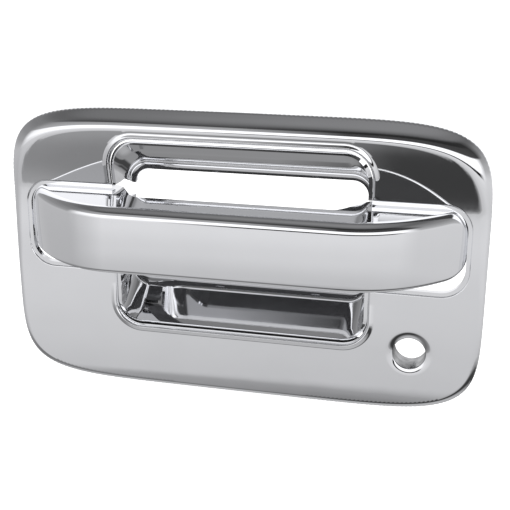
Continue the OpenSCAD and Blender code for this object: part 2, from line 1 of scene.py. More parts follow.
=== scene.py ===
"""Chrome exterior door handle: a bezel with an open hand pocket and a bar lever.

Run as a script. It loads the packed frame, builds the bright plated shells and the
return spring as meshes, gives the parts that keep their frame shape a finish, and
sets a plain studio round them. Lengths are in metres. X is across the handle, Z is
up, and Y runs into the door from its outer skin at y = 0.
"""

import math

import bpy
import numpy as np
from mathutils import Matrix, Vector
from mathutils.geometry import delaunay_2d_cdt


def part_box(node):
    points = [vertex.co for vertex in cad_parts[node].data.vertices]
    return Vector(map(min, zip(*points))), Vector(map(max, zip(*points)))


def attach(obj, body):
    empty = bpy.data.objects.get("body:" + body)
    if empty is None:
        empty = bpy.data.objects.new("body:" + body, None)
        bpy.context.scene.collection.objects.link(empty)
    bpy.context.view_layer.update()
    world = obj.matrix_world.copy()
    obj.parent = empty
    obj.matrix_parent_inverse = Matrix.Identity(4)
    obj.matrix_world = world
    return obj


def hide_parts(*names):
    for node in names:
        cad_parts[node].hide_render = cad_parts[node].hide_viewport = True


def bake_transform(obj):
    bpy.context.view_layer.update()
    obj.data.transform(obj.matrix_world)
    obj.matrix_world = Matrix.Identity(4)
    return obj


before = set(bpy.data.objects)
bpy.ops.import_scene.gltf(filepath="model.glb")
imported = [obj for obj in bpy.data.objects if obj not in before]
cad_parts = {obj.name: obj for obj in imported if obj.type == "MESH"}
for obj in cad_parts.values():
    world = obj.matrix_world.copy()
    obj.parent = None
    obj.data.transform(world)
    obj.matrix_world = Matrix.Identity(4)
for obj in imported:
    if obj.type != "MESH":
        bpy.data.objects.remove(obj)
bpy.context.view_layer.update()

bl_info = {
    "name": "Chrome Door Handle",
    "version": (1, 0, 0),
    "blender": (4, 5, 0),
    "location": "3D View > Sidebar > Door Handle",
    "description": "Builds a plated exterior door handle with an open hand pocket and a bar lever",
    "category": "Add Mesh",
}

MM = 0.001

# Places read from the frame
BEZEL_LO, BEZEL_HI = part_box("bezel")
LEVER_LO, LEVER_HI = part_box("lever_cover")
SHAFT_LO, SHAFT_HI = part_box("pivot_shaft")
SHAFT_Y = (SHAFT_LO.y + SHAFT_HI.y) / 2
SHAFT_Z = (SHAFT_LO.z + SHAFT_HI.z) / 2
SPRING_LO, SPRING_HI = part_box("return_spring")
DRIVE_LO, DRIVE_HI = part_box("drive_pin")


def length(name, description, default, low=0.0, high=1.0):
    """A length property in metres."""
    return bpy.props.FloatProperty(
        name=name, description=description, default=default, min=low, max=high, unit="LENGTH", precision=4
    )


def colour(name, description, default):
    """A colour property."""
    return bpy.props.FloatVectorProperty(
        name=name, description=description, default=default, size=3, min=0, max=1, subtype="COLOR"
    )


class BezelSettings(bpy.types.PropertyGroup):
    """Sizes of the bezel's plated shell."""

    squareness: bpy.props.FloatProperty(
        name="Squareness", description="How square the bezel's corners are", default=6.2, min=2, max=12
    )
    rim_front: length("Rim Front", "How far the rim's front edge stands out from the door", 3 * MM)
    rim_back: length("Rim Back", "How far the rim's back edge stands out from the door", 1 * MM)
    bevel_slope: bpy.props.FloatProperty(
        name="Bevel Slope", description="How far the bevel rises for each length inwards",
        default=1.42, min=0,
    )
    ridge_round: length("Ridge Rounding", "How broadly the bevel rolls over into the face", 6.5 * MM)
    edge_round: length("Edge Rounding", "Radius of the rim's outer edge", 0.8 * MM)
    wall: length("Wall", "Thickness of the plated shell", 1.8 * MM)
    mesh_step: length("Mesh Step", "Spacing of the face's mesh points", 1.7 * MM, 0.5 * MM)
    bead_w: length("Bead Width", "Width of the bead around the pocket", 3.4 * MM)
    bead_rise: length("Bead Rise", "How far the bead stands proud of the face", 1.0 * MM)
    pocket_round: length("Pocket Edge Rounding", "Radius where the bead rolls into the pocket", 1.5 * MM)
    slot_round: length("Slot Edge Rounding", "Radius where the face rolls into the lever slot", 0.7 * MM)
    slot_half: length("Slot Half Width", "Half width of the lever slot", LEVER_HI.x + 1.5 * MM)
    slot_low: length("Slot Bottom", "Height of the slot's bottom edge", -11 * MM, -1)
    slot_high: length("Slot Top", "Height of the slot's top edge", 34.5 * MM)
    slot_corner: length("Slot Corner", "Corner radius of the slot", 13 * MM)
    rim_turn: length("Back Rim", "Radius of the roof's rim round the pocket's open back", 4.6 * MM)
    side_top: length("Side Wall Top", "Height of the side walls behind the lever slot", 24 * MM)
    pocket_back: length("Pocket Back", "Depth of the pocket's open back behind the door skin", 20 * MM)
    lock_x: length("Lock Hole Place", "Distance of the lock hole from the middle", 86 * MM)
    lock_z: length("Lock Hole Height", "Height of the lock hole", -42 * MM, -1)
    lock_r: length("Lock Hole Radius", "Radius of the lock hole", 8 * MM)


class LeverSettings(bpy.types.PropertyGroup):
    """Sizes of the lever's plated cover."""

    flat: length("Straight Half Length", "Half length of the lever's straight stretch", 54 * MM)
    tip_reach: length("Tip Reach", "How far the lever's tips stand out from the door", 2.5 * MM)
    turn: bpy.props.FloatProperty(
        name="End Turn", description="How tightly the lever's ends turn back", default=2.15, min=1, max=4
    )
    bar_back: length("Bar Back", "How far the bar's back stands out from the door in the middle", 16 * MM)
    sweep_in: length("Sweep Start", "Where the back starts to sweep in towards the door", 48 * MM)
    sweep_out: length("Sweep End", "Where the back's sweep ends", 66 * MM)
    roll: length("Top Roll", "Radius of the roll along the top front edge", 4.5 * MM)
    under: length("Lower Edge Radius", "Radius of the lower front edge", 1.6 * MM)
    corner: length("End Corner", "Corner radius of the lever's ends, seen from the front", 9 * MM)
    crown: length("Face Crown", "How far the face bulges between its edges", 0.7 * MM)
    wall: length("Wall", "Thickness of the plated cover", 2 * MM)
    recess: length("Back Recess", "Depth of the recess that takes the grip back", 6.5 * MM)


class SpringSettings(bpy.types.PropertyGroup):
    """Sizes of the return spring."""

    wire_d: length("Wire Diameter", "Diameter of the spring's wire", 1.8 * MM)
    coil_r: length("Coil Radius", "Mean radius of the coil", 5.65 * MM)
    turns: bpy.props.IntProperty(
        name="Turns", description="Whole turns in the coil", default=3, min=1, max=8
    )


class FinishSettings(bpy.types.PropertyGroup):
    """Colours of the finishes."""

    chrome: colour("Chrome", "Colour of the plating", (0.90, 0.905, 0.92))
    nylon: colour("Black Nylon", "Colour of the moulded bracket and grip back", (0.016, 0.016, 0.018))
    rubber: colour("Rubber", "Colour of the gasket and the rest stops", (0.011, 0.011, 0.012))
    natural: colour("Natural Nylon", "Colour of the rod clip and the drive sleeve", (0.72, 0.68, 0.56))
    brass: colour("Brass", "Colour of the threaded inserts", (0.72, 0.47, 0.17))
    bronze: colour("Bronze", "Colour of the sintered bushes", (0.50, 0.30, 0.14))
    zinc_cast: colour("Cast Zinc", "Colour of the die cast arms", (0.44, 0.45, 0.46))
    zinc_plate: colour("Zinc Plate", "Colour of the plated screws", (0.62, 0.63, 0.65))
    steel: colour("Steel", "Colour of the ground shaft, pins and rivets", (0.56, 0.57, 0.58))
    spring: colour("Spring Steel", "Colour of the spring, clips and washer", (0.26, 0.26, 0.27))
    iron: colour("Cast Iron", "Colour of the counterweight", (0.10, 0.10, 0.105))


class StageSettings(bpy.types.PropertyGroup):
    """The studio."""

    floor: colour("Floor", "Colour of the floor", (0.95, 0.95, 0.95))
    azimuth: bpy.props.FloatProperty(
        name="Camera Azimuth", description="Turn of the camera round the handle",
        default=math.radians(14), subtype="ANGLE",
    )
    elevation: bpy.props.FloatProperty(
        name="Camera Elevation", description="Height of the camera above the level",
        default=math.radians(18.2), subtype="ANGLE",
    )
    distance: length("Camera Distance", "Distance of the camera from the handle", 0.490, 0.1, 5)
    lens: bpy.props.FloatProperty(
        name="Lens", description="Focal length in millimetres", default=69.18, min=10
    )
    shift: bpy.props.FloatVectorProperty(
        name="Camera Shift", description="Sideways and upward lens shift", default=(0.029, 0.0043), size=2
    )


# Meshes


def shown(name, points, faces, normals=None):
    """A smooth shaded object. Normals, where given, are one for each face corner."""
    mesh = bpy.data.meshes.new(name)
    mesh.from_pydata([tuple(p) for p in points], [], faces)
    mesh.shade_smooth()
    if normals is not None:
        mesh.normals_split_custom_set(normals)
    obj = bpy.data.objects.new(name, mesh)
    bpy.context.scene.collection.objects.link(obj)
    return obj


def turned_out(points, faces):
    """The faces of a closed form, all reversed if they face inwards."""
    volume = 0
    for face in faces:
        first = Vector(points[face[0]])
        for a, b in zip(face[1:-1], face[2:]):
            volume += first.dot(Vector(points[a]).cross(Vector(points[b])))
    return faces if volume > 0 else [tuple(reversed(f)) for f in faces]


def open_edges(faces):
    """The directed edges that only one face has."""
    edges = {edge for f in faces for edge in zip(f, f[1:] + f[:1])}
    return [(a, b) for a, b in edges if (b, a) not in edges]


def thick_sheet(name, points, normals, faces, wall):
    """A sheet with a thickness: its shown side, the same side set back by the wall, and its edges."""
    count = len(points)
    points = np.vstack([points, points - normals * wall])
    rims = [(b, a, a + count, b + count) for a, b in open_edges(faces)]
    backs = [tuple(i + count for i in reversed(f)) for f in faces]
    corner_normals = [tuple(normals[i]) for f in faces for i in f]
    corner_normals += [tuple(-normals[i - count]) for f in backs for i in f]
    for f in rims:
        across = np.cross(points[f[1]] - points[f[0]], points[f[3]] - points[f[0]])
        across = tuple(across / max(np.linalg.norm(across), 1e-12))
        corner_normals += [across] * 4
    return shown(name, points, [tuple(f) for f in faces] + backs + rims, corner_normals)


def grid_faces(rows, columns, wrap):
    """Quads between rows of points, each row holding the same number of columns."""
    faces = []
    for row in range(rows - 1):
        near, far = row * columns, (row + 1) * columns
        for c in range(columns if wrap else columns - 1):
            after = (c + 1) % columns
            faces.append((near + c, near + after, far + after, far + c))
    return faces


def tube_faces(rows, columns):
    """Faces round a tube of rings, with a cap on each end."""
    last = (rows - 1) * columns
    caps = [tuple(reversed(range(columns))), tuple(last + c for c in range(columns))]
    return grid_faces(rows, columns, True) + caps


def band_faces(rows, columns):
    """Faces round a band of rings whose last ring joins its first."""
    last = (rows - 1) * columns
    closing = [(last + c, last + (c + 1) % columns, (c + 1) % columns, c) for c in range(columns)]
    return grid_faces(rows, columns, True) + closing


def grid_normals(grid):
    """Normals of a grid of points, on the side that its columns run to the right of its rows."""
    along = np.gradient(grid, axis=0)
    around = np.gradient(grid, axis=1)
    normals = np.cross(along, around).reshape(-1, 3)
    return normals / np.maximum(np.linalg.norm(normals, axis=1, keepdims=True), 1e-12)


def lathe(name, centre, profile, sides=64):
    """Turns a closed profile of (radius, Y) about an axis along Y."""
    points = []
    for radius, y in profile:
        for k in range(sides):
            a = 2 * math.pi * k / sides
            points.append((centre[0] + radius * math.cos(a), y, centre[1] + radius * math.sin(a)))
    faces = band_faces(len(profile), sides)
    obj = shown(name, points, turned_out(points, faces))
    round_off(obj)
    return obj


def round_off(obj, width=0.25 * MM, segments=2):
    """Breaks an object's sharp edges, as tooling does."""
    bevel = obj.modifiers.new("Broken Edges", "BEVEL")
    bevel.width = width
    bevel.segments = segments
    bevel.limit_method = "ANGLE"
    bevel.angle_limit = math.radians(40)
    bevel.harden_normals = True


# Bezel

# Heights and how far the face stands out there, from the bottom edge to the crown
FACE_LINE = np.array([
    (-73, 3.0), (-65, 3.3), (-42, 3.6), (-11, 3.9), (4, 4.2),
    (30, 4.5), (34.5, 5.1), (60.5, 9.9), (67, 11.1), (73, 12.2),
]) * MM
# The pocket's half width, bottom, top and corner radius at its mouth and at its back
POCKET_MOUTH = np.array([65.6, -47, 60.5, 14]) * MM
POCKET_BACK = np.array([63, -21, 40.5, 10]) * MM
POCKET_MOUTH_Y = -12.5 * MM
POCKET_BACK_Y = 20 * MM
# Where the pocket's bottom and top edges come out on the face
POCKET_FACE_LOW, POCKET_FACE_HIGH = -40 * MM, 59 * MM
# How far the pocket's walls belly out beyond its straight taper
POCKET_BELLY = 2.4 * MM
SIDE_WALL_FRONT_Y = 7 * MM
# The lock hole's funnel and the sleeve behind it
LOCK_CONE_Y = -2.9 * MM
LOCK_FUNNEL_REACH = 12 * MM
LOCK_BACK_Y = 10.4 * MM
LOCK_WALL = 2.5 * MM
# Bosses for the door's inserts start behind the face's own wall
INSERT_BOSS_WALL = 2.3 * MM
INSERT_BOSS_DROP = 2.8 * MM
# Bosses for the bracket's screws: places in X and Z, bore, radius, front and back
SCREW_BOSSES = np.array([(-98, -24), (-98, -53), (-52, -56), (52, -56)]) * MM
SCREW_BORE_R, SCREW_BOSS_R = 1.5 * MM, 4.4 * MM
SCREW_BOSS_FRONT_Y, SCREW_BOSS_BACK_Y = -2.6 * MM, 8 * MM
# Distances from each edge, in millimetres, of the rings of points that carry its curves
OUTLINE_STEPS = (
    0.03, 0.12, 0.28, 0.5, 0.8, 1.3, 1.9, 2.5, 3.1, 3.8, 4.6, 5.5, 6.5, 7.6, 8.8, 10, 11.2, 12.5, 13.8
)
OPENING_STEPS = (0.03, 0.11, 0.25, 0.45, 0.7, 1.05, 1.5, 2.0, 2.5, 2.9, 3.2, 3.6, 4.2)
LOCK_STEPS = (0.03, 0.1, 0.25, 0.5, 0.9, 1.5, 2.2, 3, 3.8, 4.6, 5.5, 6.5)
OUTLINE_POINTS = 320
LIP_POINTS = 240


def face_out(z):
    """How far the face stands out at height z, as a smooth line through the given heights."""
    zs, outs = FACE_LINE.T
    steps = np.diff(outs) / np.diff(zs)
    slopes = np.concatenate([[steps[0]], (steps[1:] + steps[:-1]) / 2, [steps[-1]]])
    i = np.clip(np.searchsorted(zs, z) - 1, 0, len(zs) - 2)
    width = zs[i + 1] - zs[i]
    t = np.clip((z - zs[i]) / width, -1, 2)
    return (
        (2 * t**3 - 3 * t**2 + 1) * outs[i] + (t**3 - 2 * t**2 + t) * width * slopes[i]
        + (3 * t**2 - 2 * t**3) * outs[i + 1] + (t**3 - t**2) * width * slopes[i + 1]
    )


def outline(bezel, inset, count):
    """Points round the bezel's outline, evenly spaced on the outline itself and moved in by an inset."""
    a = np.linspace(0, 2 * math.pi, 4001)
    n = bezel.squareness
    reach = (np.abs(np.cos(a) / BEZEL_HI.x) ** n + np.abs(np.sin(a) / BEZEL_HI.z) ** n) ** (-1 / n)
    x, z = reach * np.cos(a), reach * np.sin(a)
    run = np.concatenate([[0], np.cumsum(np.hypot(np.diff(x), np.diff(z)))])
    at = np.linspace(0, run[-1], count, endpoint=False)
    loop = np.column_stack([np.interp(at, run, x), np.interp(at, run, z)])
    return loop * [1 - inset / BEZEL_HI.x, 1 - inset / BEZEL_HI.z]


def inset_at(bezel, x, z):
    """How far in from the bezel's outline a point lies, by the outline through it."""
    low = np.full(np.shape(x), -5 * MM)
    high = np.full(np.shape(x), BEZEL_HI.z - 0.1 * MM)
    for _ in range(40):
        mid = (low + high) / 2
        a, b = np.abs(x) / (BEZEL_HI.x - mid), np.abs(z) / (BEZEL_HI.z - mid)
        outside = np.minimum(a, 4) ** bezel.squareness + np.minimum(b, 4) ** bezel.squareness > 1
        high = np.where(outside, mid, high)
        low = np.where(outside, low, mid)
    return (low + high) / 2


def rounded(distance, radius):
    """How deep a rounded edge has dropped at a distance from the edge's outer side."""
    t = np.clip(1 - distance / radius, 0, 1)
    return radius * (1 - np.sqrt(1 - t * t))


def soft_max(a, b, width):
    """The larger of two values, with the crease between them rounded over a width."""
    near = np.maximum(width - np.abs(a - b), 0)
    return np.maximum(a, b) + near * near / (4 * width)


def rect_distance(x, z, half, low, high, corner):
    """Distance outside a rounded rectangle, negative inside it."""
    u = np.abs(x) - half + corner
    v = np.abs(z - (low + high) / 2) - (high - low) / 2 + corner
    return np.hypot(np.maximum(u, 0), np.maximum(v, 0)) + np.minimum(np.maximum(u, v), 0) - corner


def pocket_size(y):
    """The pocket's half width, bottom, top and corner radius at depth y."""
    t = (y - POCKET_MOUTH_Y) / (POCKET_BACK_Y - POCKET_MOUTH_Y)
    return [m + (b - m) * t for m, b in zip(POCKET_MOUTH, POCKET_BACK)]


def bead_profile(t):
    """The bead's height across its width: a short roll on the pocket's side, a long slope outside."""
    crest, hollow = 0.36, 0.18
    inner = 1 - np.clip(1 - t / crest, 0, 1) ** 2
    outer = np.clip((1 - t) / (1 - crest), 0, 1)
    return inner * (outer - hollow * np.sin(math.pi * outer) * (1 - outer)) * (t < 1)


def ridge_width(bezel, z):
    """The width of the ridge's roll at height z, half as broad along the lower face."""
    fade_from, fade_over = -10 * MM, 40 * MM
    return bezel.ridge_round * (0.5 + 0.5 * np.clip((z - fade_from) / fade_over, 0, 1))


def base_face(bezel, x, z):
    """The face's Y with its bevelled ridge, before its edges and beads are formed."""
    bevel = -bezel.rim_front - bezel.bevel_slope * inset_at(bezel, x, z)
    return soft_max(bevel, -face_out(z), ridge_width(bezel, z))


def opening_distances(bezel, x, z):
    """How far outside the pocket and outside the lever slot a point lies, on the face."""
    mouth = np.clip(z, POCKET_FACE_LOW, POCKET_FACE_HIGH)
    pocket = rect_distance(x, z, *pocket_size(-face_out(mouth)))
    slot = rect_distance(x, z, bezel.slot_half, bezel.slot_low, bezel.slot_high, bezel.slot_corner)
    return pocket, slot


def face_height(bezel, x, z):
    """The Y of the finished face."""
    y = base_face(bezel, x, z) + rounded(inset_at(bezel, x, z), bezel.edge_round)
    pocket, slot = opening_distances(bezel, x, z)
    # The bead runs round the pocket's top and sides above the slot, and round its bottom
    low_bead_top, low_bead_fade, slot_fade = -18 * MM, 10 * MM, 2 * MM
    t = np.clip(pocket / bezel.bead_w, 0, 1)
    strength = np.where(z > 0, 1.0, np.clip((low_bead_top - z) / low_bead_fade, 0, 1))
    strength = strength * np.clip(slot / slot_fade, 0, 1)
    y = y - bezel.bead_rise * strength * bead_profile(t)
    # Both openings have rolled edges
    share = np.clip(slot / (slot + pocket + 1e-9), 0, 1)
    radius = bezel.slot_round + (bezel.pocket_round - bezel.slot_round) * share
    y = y + rounded(np.minimum(pocket, slot), radius)
    # A shallow funnel leads into the lock hole
    out = np.hypot(x - bezel.lock_x, z - bezel.lock_z) - bezel.lock_r
    funnel = LOCK_CONE_Y - out / 2 + rounded(out, 0.5 * MM)
    return np.where(out < LOCK_FUNNEL_REACH, soft_max(y, funnel, 1.2 * MM), y)


def arc(centre, radius, start, count):
    """Points and outward directions of a quarter circle that starts at an angle in quarters."""
    angles = (start + np.linspace(0, 1, count)) * math.pi / 2
    out = np.column_stack([np.cos(angles), np.sin(angles)])
    return np.asarray(centre) + radius * out, out


def side(a, b, out, count):
    """Points strictly between two ends, with one outward direction."""
    t = np.linspace(0, 1, count + 2)[1:-1, None]
    return np.asarray(a) + (np.asarray(b) - np.asarray(a)) * t, np.tile(out, (count, 1)).astype(float)


def pocket_half_loop(bezel, y, top):
    """The pocket's top or bottom half at depth y, from one slot edge round to the other."""
    half, low, high, r = pocket_size(y)
    if top:
        edge = bezel.slot_high
        runs = [
            side((half, edge), (half, high - r), (1, 0), 9),
            arc((half - r, high - r), r, 0, 14),
            side((half - r, high), (-half + r, high), (0, 1), 60),
            arc((-half + r, high - r), r, 1, 14),
            side((-half, high - r), (-half, edge), (-1, 0), 9),
        ]
        first, last = (half, edge), (-half, edge)
    else:
        edge = bezel.slot_low
        runs = [
            side((-half, edge), (-half, low + r), (-1, 0), 14),
            arc((-half + r, low + r), r, 2, 14),
            side((-half + r, low), (half - r, low), (0, -1), 60),
            arc((half - r, low + r), r, 3, 14),
            side((half, low + r), (half, edge), (1, 0), 14),
        ]
        first, last = (-half, edge), (half, edge)
    points = np.vstack([[first]] + [p for p, _ in runs] + [[last]])
    out = np.vstack([[runs[0][1][0]]] + [o for _, o in runs] + [[runs[-1][1][-1]]])
    return points, out


def pocket_half_on_face(bezel, top):
    """Where the pocket's top or bottom half meets the face."""
    first_guess = -6 * MM
    points, out = pocket_half_loop(bezel, first_guess, top)
    for _ in range(6):
        depths = base_face(bezel, points[:, 0], points[:, 1])
        points = np.array([pocket_half_loop(bezel, y, top)[0][i] for i, y in enumerate(depths)])
    return points, out


def slot_end(bezel, right, start, finish):
    """The slot's right or left end, between the two places where it meets the pocket."""
    half, low, high, r = bezel.slot_half, bezel.slot_low, bezel.slot_high, bezel.slot_corner
    if right:
        runs = [
            side(start, (half - r, low), (0, -1), 16),
            arc((half - r, low + r), r, 3, 12),
            side((half, low + r), (half, high - r), (1, 0), 8),
            arc((half - r, high - r), r, 0, 12),
            side((half - r, high), finish, (0, 1), 16),
        ]
    else:
        runs = [
            side(start, (-half + r, high), (0, 1), 16),
            arc((-half + r, high - r), r, 1, 12),
            side((-half, high - r), (-half, low + r), (-1, 0), 8),
            arc((-half + r, low + r), r, 2, 12),
            side((-half + r, low), finish, (0, -1), 16),
        ]
    return np.vstack([p for p, _ in runs]), np.vstack([o for _, o in runs])


def opening_loop(bezel):
    """The face's opening: the pocket's two halves joined by the slot's two ends."""
    bottom, bottom_out = pocket_half_on_face(bezel, False)
    top, top_out = pocket_half_on_face(bezel, True)
    right, right_out = slot_end(bezel, True, bottom[-1], top[0])
    left, left_out = slot_end(bezel, False, top[-1], bottom[0])
    return np.vstack([bottom, right, top, left]), np.vstack([bottom_out, right_out, top_out, left_out])


def within(loop, points):
    """Which points lie inside a closed loop."""
    x, z = points[:, 0], points[:, 1]
    inside = np.zeros(len(points), bool)
    for (x0, z0), (x1, z1) in zip(loop, np.roll(loop, -1, axis=0)):
        if z0 == z1:
            continue
        crosses = (z0 > z) != (z1 > z)
        inside ^= crosses & (x < (x1 - x0) * (z - z0) / (z1 - z0) + x0)
    return inside


def lock_circle(bezel):
    """The lock hole's centre and the directions from it to the points round it."""
    turn = np.linspace(0, 2 * math.pi, 72, endpoint=False)
    return np.array([bezel.lock_x, bezel.lock_z]), np.column_stack([np.cos(turn), np.sin(turn)])


def face_rings(bezel, opening, opening_out):
    """Rings of points close to each edge, where the form curves tightly."""
    rings = []
    for inset in OUTLINE_STEPS:
        ring = outline(bezel, inset * MM, OUTLINE_POINTS)
        nearest = np.minimum(*opening_distances(bezel, *ring.T))
        rings.append(ring[nearest > (4.6 * MM if inset > 3 else 0)])
    for step in OPENING_STEPS:
        ring = opening + opening_out * step * MM
        nearest = np.minimum(*opening_distances(bezel, *ring.T))
        clear = nearest > 0.8 * step * MM
        rings.append(ring[clear & (inset_at(bezel, *ring.T) > 3.6 * MM)])
    centre, out = lock_circle(bezel)
    for step in LOCK_STEPS:
        rings.append(centre + (bezel.lock_r + step * MM) * out)
    return rings


def face_grid(bezel):
    """An even grid of points over the rest of the face."""
    xs = np.arange(-BEZEL_HI.x, BEZEL_HI.x, bezel.mesh_step)
    zs = np.arange(-BEZEL_HI.z, BEZEL_HI.z, bezel.mesh_step)
    grid = np.array([(x + bezel.mesh_step / 2 * (j % 2), z) for j, z in enumerate(zs) for x in xs])
    clear = np.minimum(*opening_distances(bezel, *grid.T)) > 5 * MM
    clear &= inset_at(bezel, *grid.T) > 14.9 * MM
    from_lock = np.hypot(grid[:, 0] - bezel.lock_x, grid[:, 1] - bezel.lock_z)
    return grid[clear & (from_lock > bezel.lock_r + 7.4 * MM)]


def triangulated(loops, others):
    """Points, triangles between the first loop and the rest, and where each given point went."""
    constraints, start = [], 0
    for loop in loops:
        count = len(loop)
        constraints += [(start + i, start + (i + 1) % count) for i in range(count)]
        start += count
    flat = [Vector(p) for p in np.vstack(loops + others)]
    verts, _, triangles, origin, _, _ = delaunay_2d_cdt(flat, constraints, [], 0, 1e-7)
    points = np.array([tuple(v) for v in verts])
    middles = points[np.array(triangles)].mean(axis=1)
    keep = within(loops[0], middles)
    for hole in loops[1:]:
        keep &= ~within(hole, middles)
    place = {i: v for v, sources in enumerate(origin) for i in sources}
    return points, [tuple(t) for t, k in zip(triangles, keep) if k], place


def face_normals(bezel, x, z):
    """Normals of the finished face, from its slopes."""
    step = 0.01 * MM
    slope_x = (face_height(bezel, x + step, z) - face_height(bezel, x - step, z)) / (2 * step)
    slope_z = (face_height(bezel, x, z + step) - face_height(bezel, x, z - step)) / (2 * step)
    normals = np.column_stack([slope_x, -np.ones(len(x)), slope_z])
    return normals / np.linalg.norm(normals, axis=1, keepdims=True)


def outward(loop):
    """Outward directions round a loop that runs anticlockwise."""
    along = np.roll(loop, -1, axis=0) - np.roll(loop, 1, axis=0)
    out = np.column_stack([along[:, 1], -along[:, 0]])
    return out / np.linalg.norm(out, axis=1, keepdims=True)


def face_mesh(bezel):
    """Points, normals and faces of the bezel's face, with its rim."""
    edge = outline(bezel, 0, OUTLINE_POINTS)
    opening, opening_out = opening_loop(bezel)
    lock_centre, lock_out = lock_circle(bezel)
    lock = lock_centre + bezel.lock_r * lock_out
    rings = face_rings(bezel, opening, opening_out)
    flat, faces, place = triangulated([edge, opening, lock], rings + [face_grid(bezel)])
    x, z = flat.T
    points = np.column_stack([x, face_height(bezel, x, z), z])
    normals = face_normals(bezel, x, z)
    # On the edges themselves the form has turned right over
    for i, (u, w) in enumerate(np.vstack([outward(edge), -opening_out, -lock_out])):
        normals[place[i]] = (u, 0, w)

    # The rim runs from the face's outer edge back to the gasket
    rim = [place[i] for i in range(len(edge))]
    rim_points = points[rim].copy()
    rim_points[:, 1] = -bezel.rim_back
    start = len(points)
    for i, front in enumerate(rim):
        after = (i + 1) % len(rim)
        faces.append((front, start + i, start + after, rim[after]))
    return np.vstack([points, rim_points]), np.vstack([normals, normals[rim]]), faces


def pocket_wall(bezel, top):
    """One half of the pocket's wall, from the face to its open back."""
    front, _ = pocket_half_on_face(bezel, top)
    start = face_height(bezel, front[:, 0], front[:, 1])
    # Rows of points from front to back, closer together where the wall turns in
    rim_rows = np.array([1, 0.85, 0.7, 0.55, 0.4, 0.28, 0.17, 0.08, 0.03, 0.005, 0])
    shares = np.concatenate([np.linspace(0, 0.8, 10), 1 - 0.18 * rim_rows])
    depth = np.array([start + (bezel.pocket_back - start) * share for share in shares])
    flat = np.array([
        [pocket_half_loop(bezel, y, top)[0][i] for i, y in enumerate(row)] for row in depth
    ])
    grid = np.stack([flat[..., 0], depth, flat[..., 1]], axis=-1)
    # The wall bellies out, then turns in to a narrow rim round the open back
    belly = POCKET_BELLY * np.clip(depth / bezel.pocket_back, 0, 1)
    turned = rounded(bezel.pocket_back - depth, bezel.rim_turn) - belly
    out = pocket_half_loop(bezel, bezel.pocket_back, top)[1]
    grid[..., 0] -= turned * out[None, :, 0]
    grid[..., 2] -= turned * out[None, :, 1]
    return grid


def sheet_from_grid(name, grid, wall):
    """A thick sheet whose shown side is a grid of points."""
    faces = [tuple(reversed(f)) for f in grid_faces(*grid.shape[:2], False)]
    return thick_sheet(name, grid.reshape(-1, 3), grid_normals(grid), faces, wall)


def pocket_side(bezel, right):
    """The pocket's side wall behind the lever slot."""
    columns, rows = 24, 6
    zs = np.linspace(bezel.slot_low, bezel.side_top, columns)
    ys = np.linspace(SIDE_WALL_FRONT_Y, bezel.pocket_back, rows)
    halves = np.array([pocket_size(y)[0] for y in ys]) * (1 if right else -1)
    grid = np.zeros((rows, columns, 3))
    grid[..., 0] = halves[:, None]
    grid[..., 1] = ys[:, None]
    grid[..., 2] = zs[None, :] if right else zs[::-1][None, :]
    return grid


def slot_wall(bezel, right):
    """The return wall round one end of the lever slot."""
    bottom, _ = pocket_half_on_face(bezel, False)
    top, _ = pocket_half_on_face(bezel, True)
    if right:
        middle, _ = slot_end(bezel, True, bottom[-1], top[0])
        line = np.vstack([[bottom[-1]], middle, [top[0]]])
    else:
        middle, _ = slot_end(bezel, False, top[-1], bottom[0])
        line = np.vstack([[top[-1]], middle, [bottom[0]]])
    start = face_height(bezel, line[:, 0], line[:, 1])
    rows = 4
    depth = np.array([start * (1 - r / (rows - 1)) for r in range(rows)])
    x, z = (np.tile(line[:, axis], (rows, 1)) for axis in (0, 1))
    return np.stack([x, depth, z], axis=-1)


def lip(bezel):
    """The flat lip behind the rim that the gasket seats on."""
    outer, inner = outline(bezel, 0.5 * MM, LIP_POINTS), outline(bezel, 5 * MM, LIP_POINTS)
    front, back = -bezel.rim_front + 0.6 * MM, -bezel.rim_back
    rings = [(outer, back), (inner, back), (inner, front), (outer, front)]
    points = [(x, y, z) for loop, y in rings for x, z in loop]
    faces = band_faces(len(rings), LIP_POINTS)
    obj = shown("bezel_lip", points, turned_out(points, faces))
    round_off(obj, 0.3 * MM)
    return obj


def lock_sleeve(bezel):
    """The tube behind the lock hole that takes the lock cylinder."""
    rim = face_height(bezel, np.array([bezel.lock_x + bezel.lock_r]), np.array([bezel.lock_z]))
    front, inner, outer = float(rim[0]), bezel.lock_r, bezel.lock_r + LOCK_WALL
    profile = [(inner, front), (inner, LOCK_BACK_Y), (outer, LOCK_BACK_Y), (outer, front + 1 * MM)]
    return lathe("lock_sleeve", (bezel.lock_x, bezel.lock_z), profile)


def insert_boss(bezel, sign):
    """The boss round one of the door's inserts, on the side given by the sign."""
    low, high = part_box("door_inserts")
    inner, z = (high.z - low.z) / 2, (low.z + high.z) / 2
    x, outer = sign * (high.x - inner), inner + INSERT_BOSS_WALL
    front = float(face_height(bezel, np.array([x]), np.array([z]))[0]) + INSERT_BOSS_DROP
    profile = [(inner, front), (inner, -bezel.rim_back), (outer, -bezel.rim_back), (outer, front)]
    return lathe("insert_boss_left" if sign < 0 else "insert_boss_right", (x, z), profile)


def screw_boss(k, x, z):
    """A boss on the face's back for one of the bracket's screws."""
    front, back = SCREW_BOSS_FRONT_Y, SCREW_BOSS_BACK_Y
    profile = [(SCREW_BORE_R, front), (SCREW_BORE_R, back), (SCREW_BOSS_R, back), (SCREW_BOSS_R, front)]
    return lathe(f"screw_boss_{k}", (x, z), profile)


def ride_with(obj, body, slot, *nodes):
    """Puts a piece on its body and hides the frame nodes that it stands for. The slot is not used."""
    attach(obj, body)
    if nodes:
        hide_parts(*nodes)


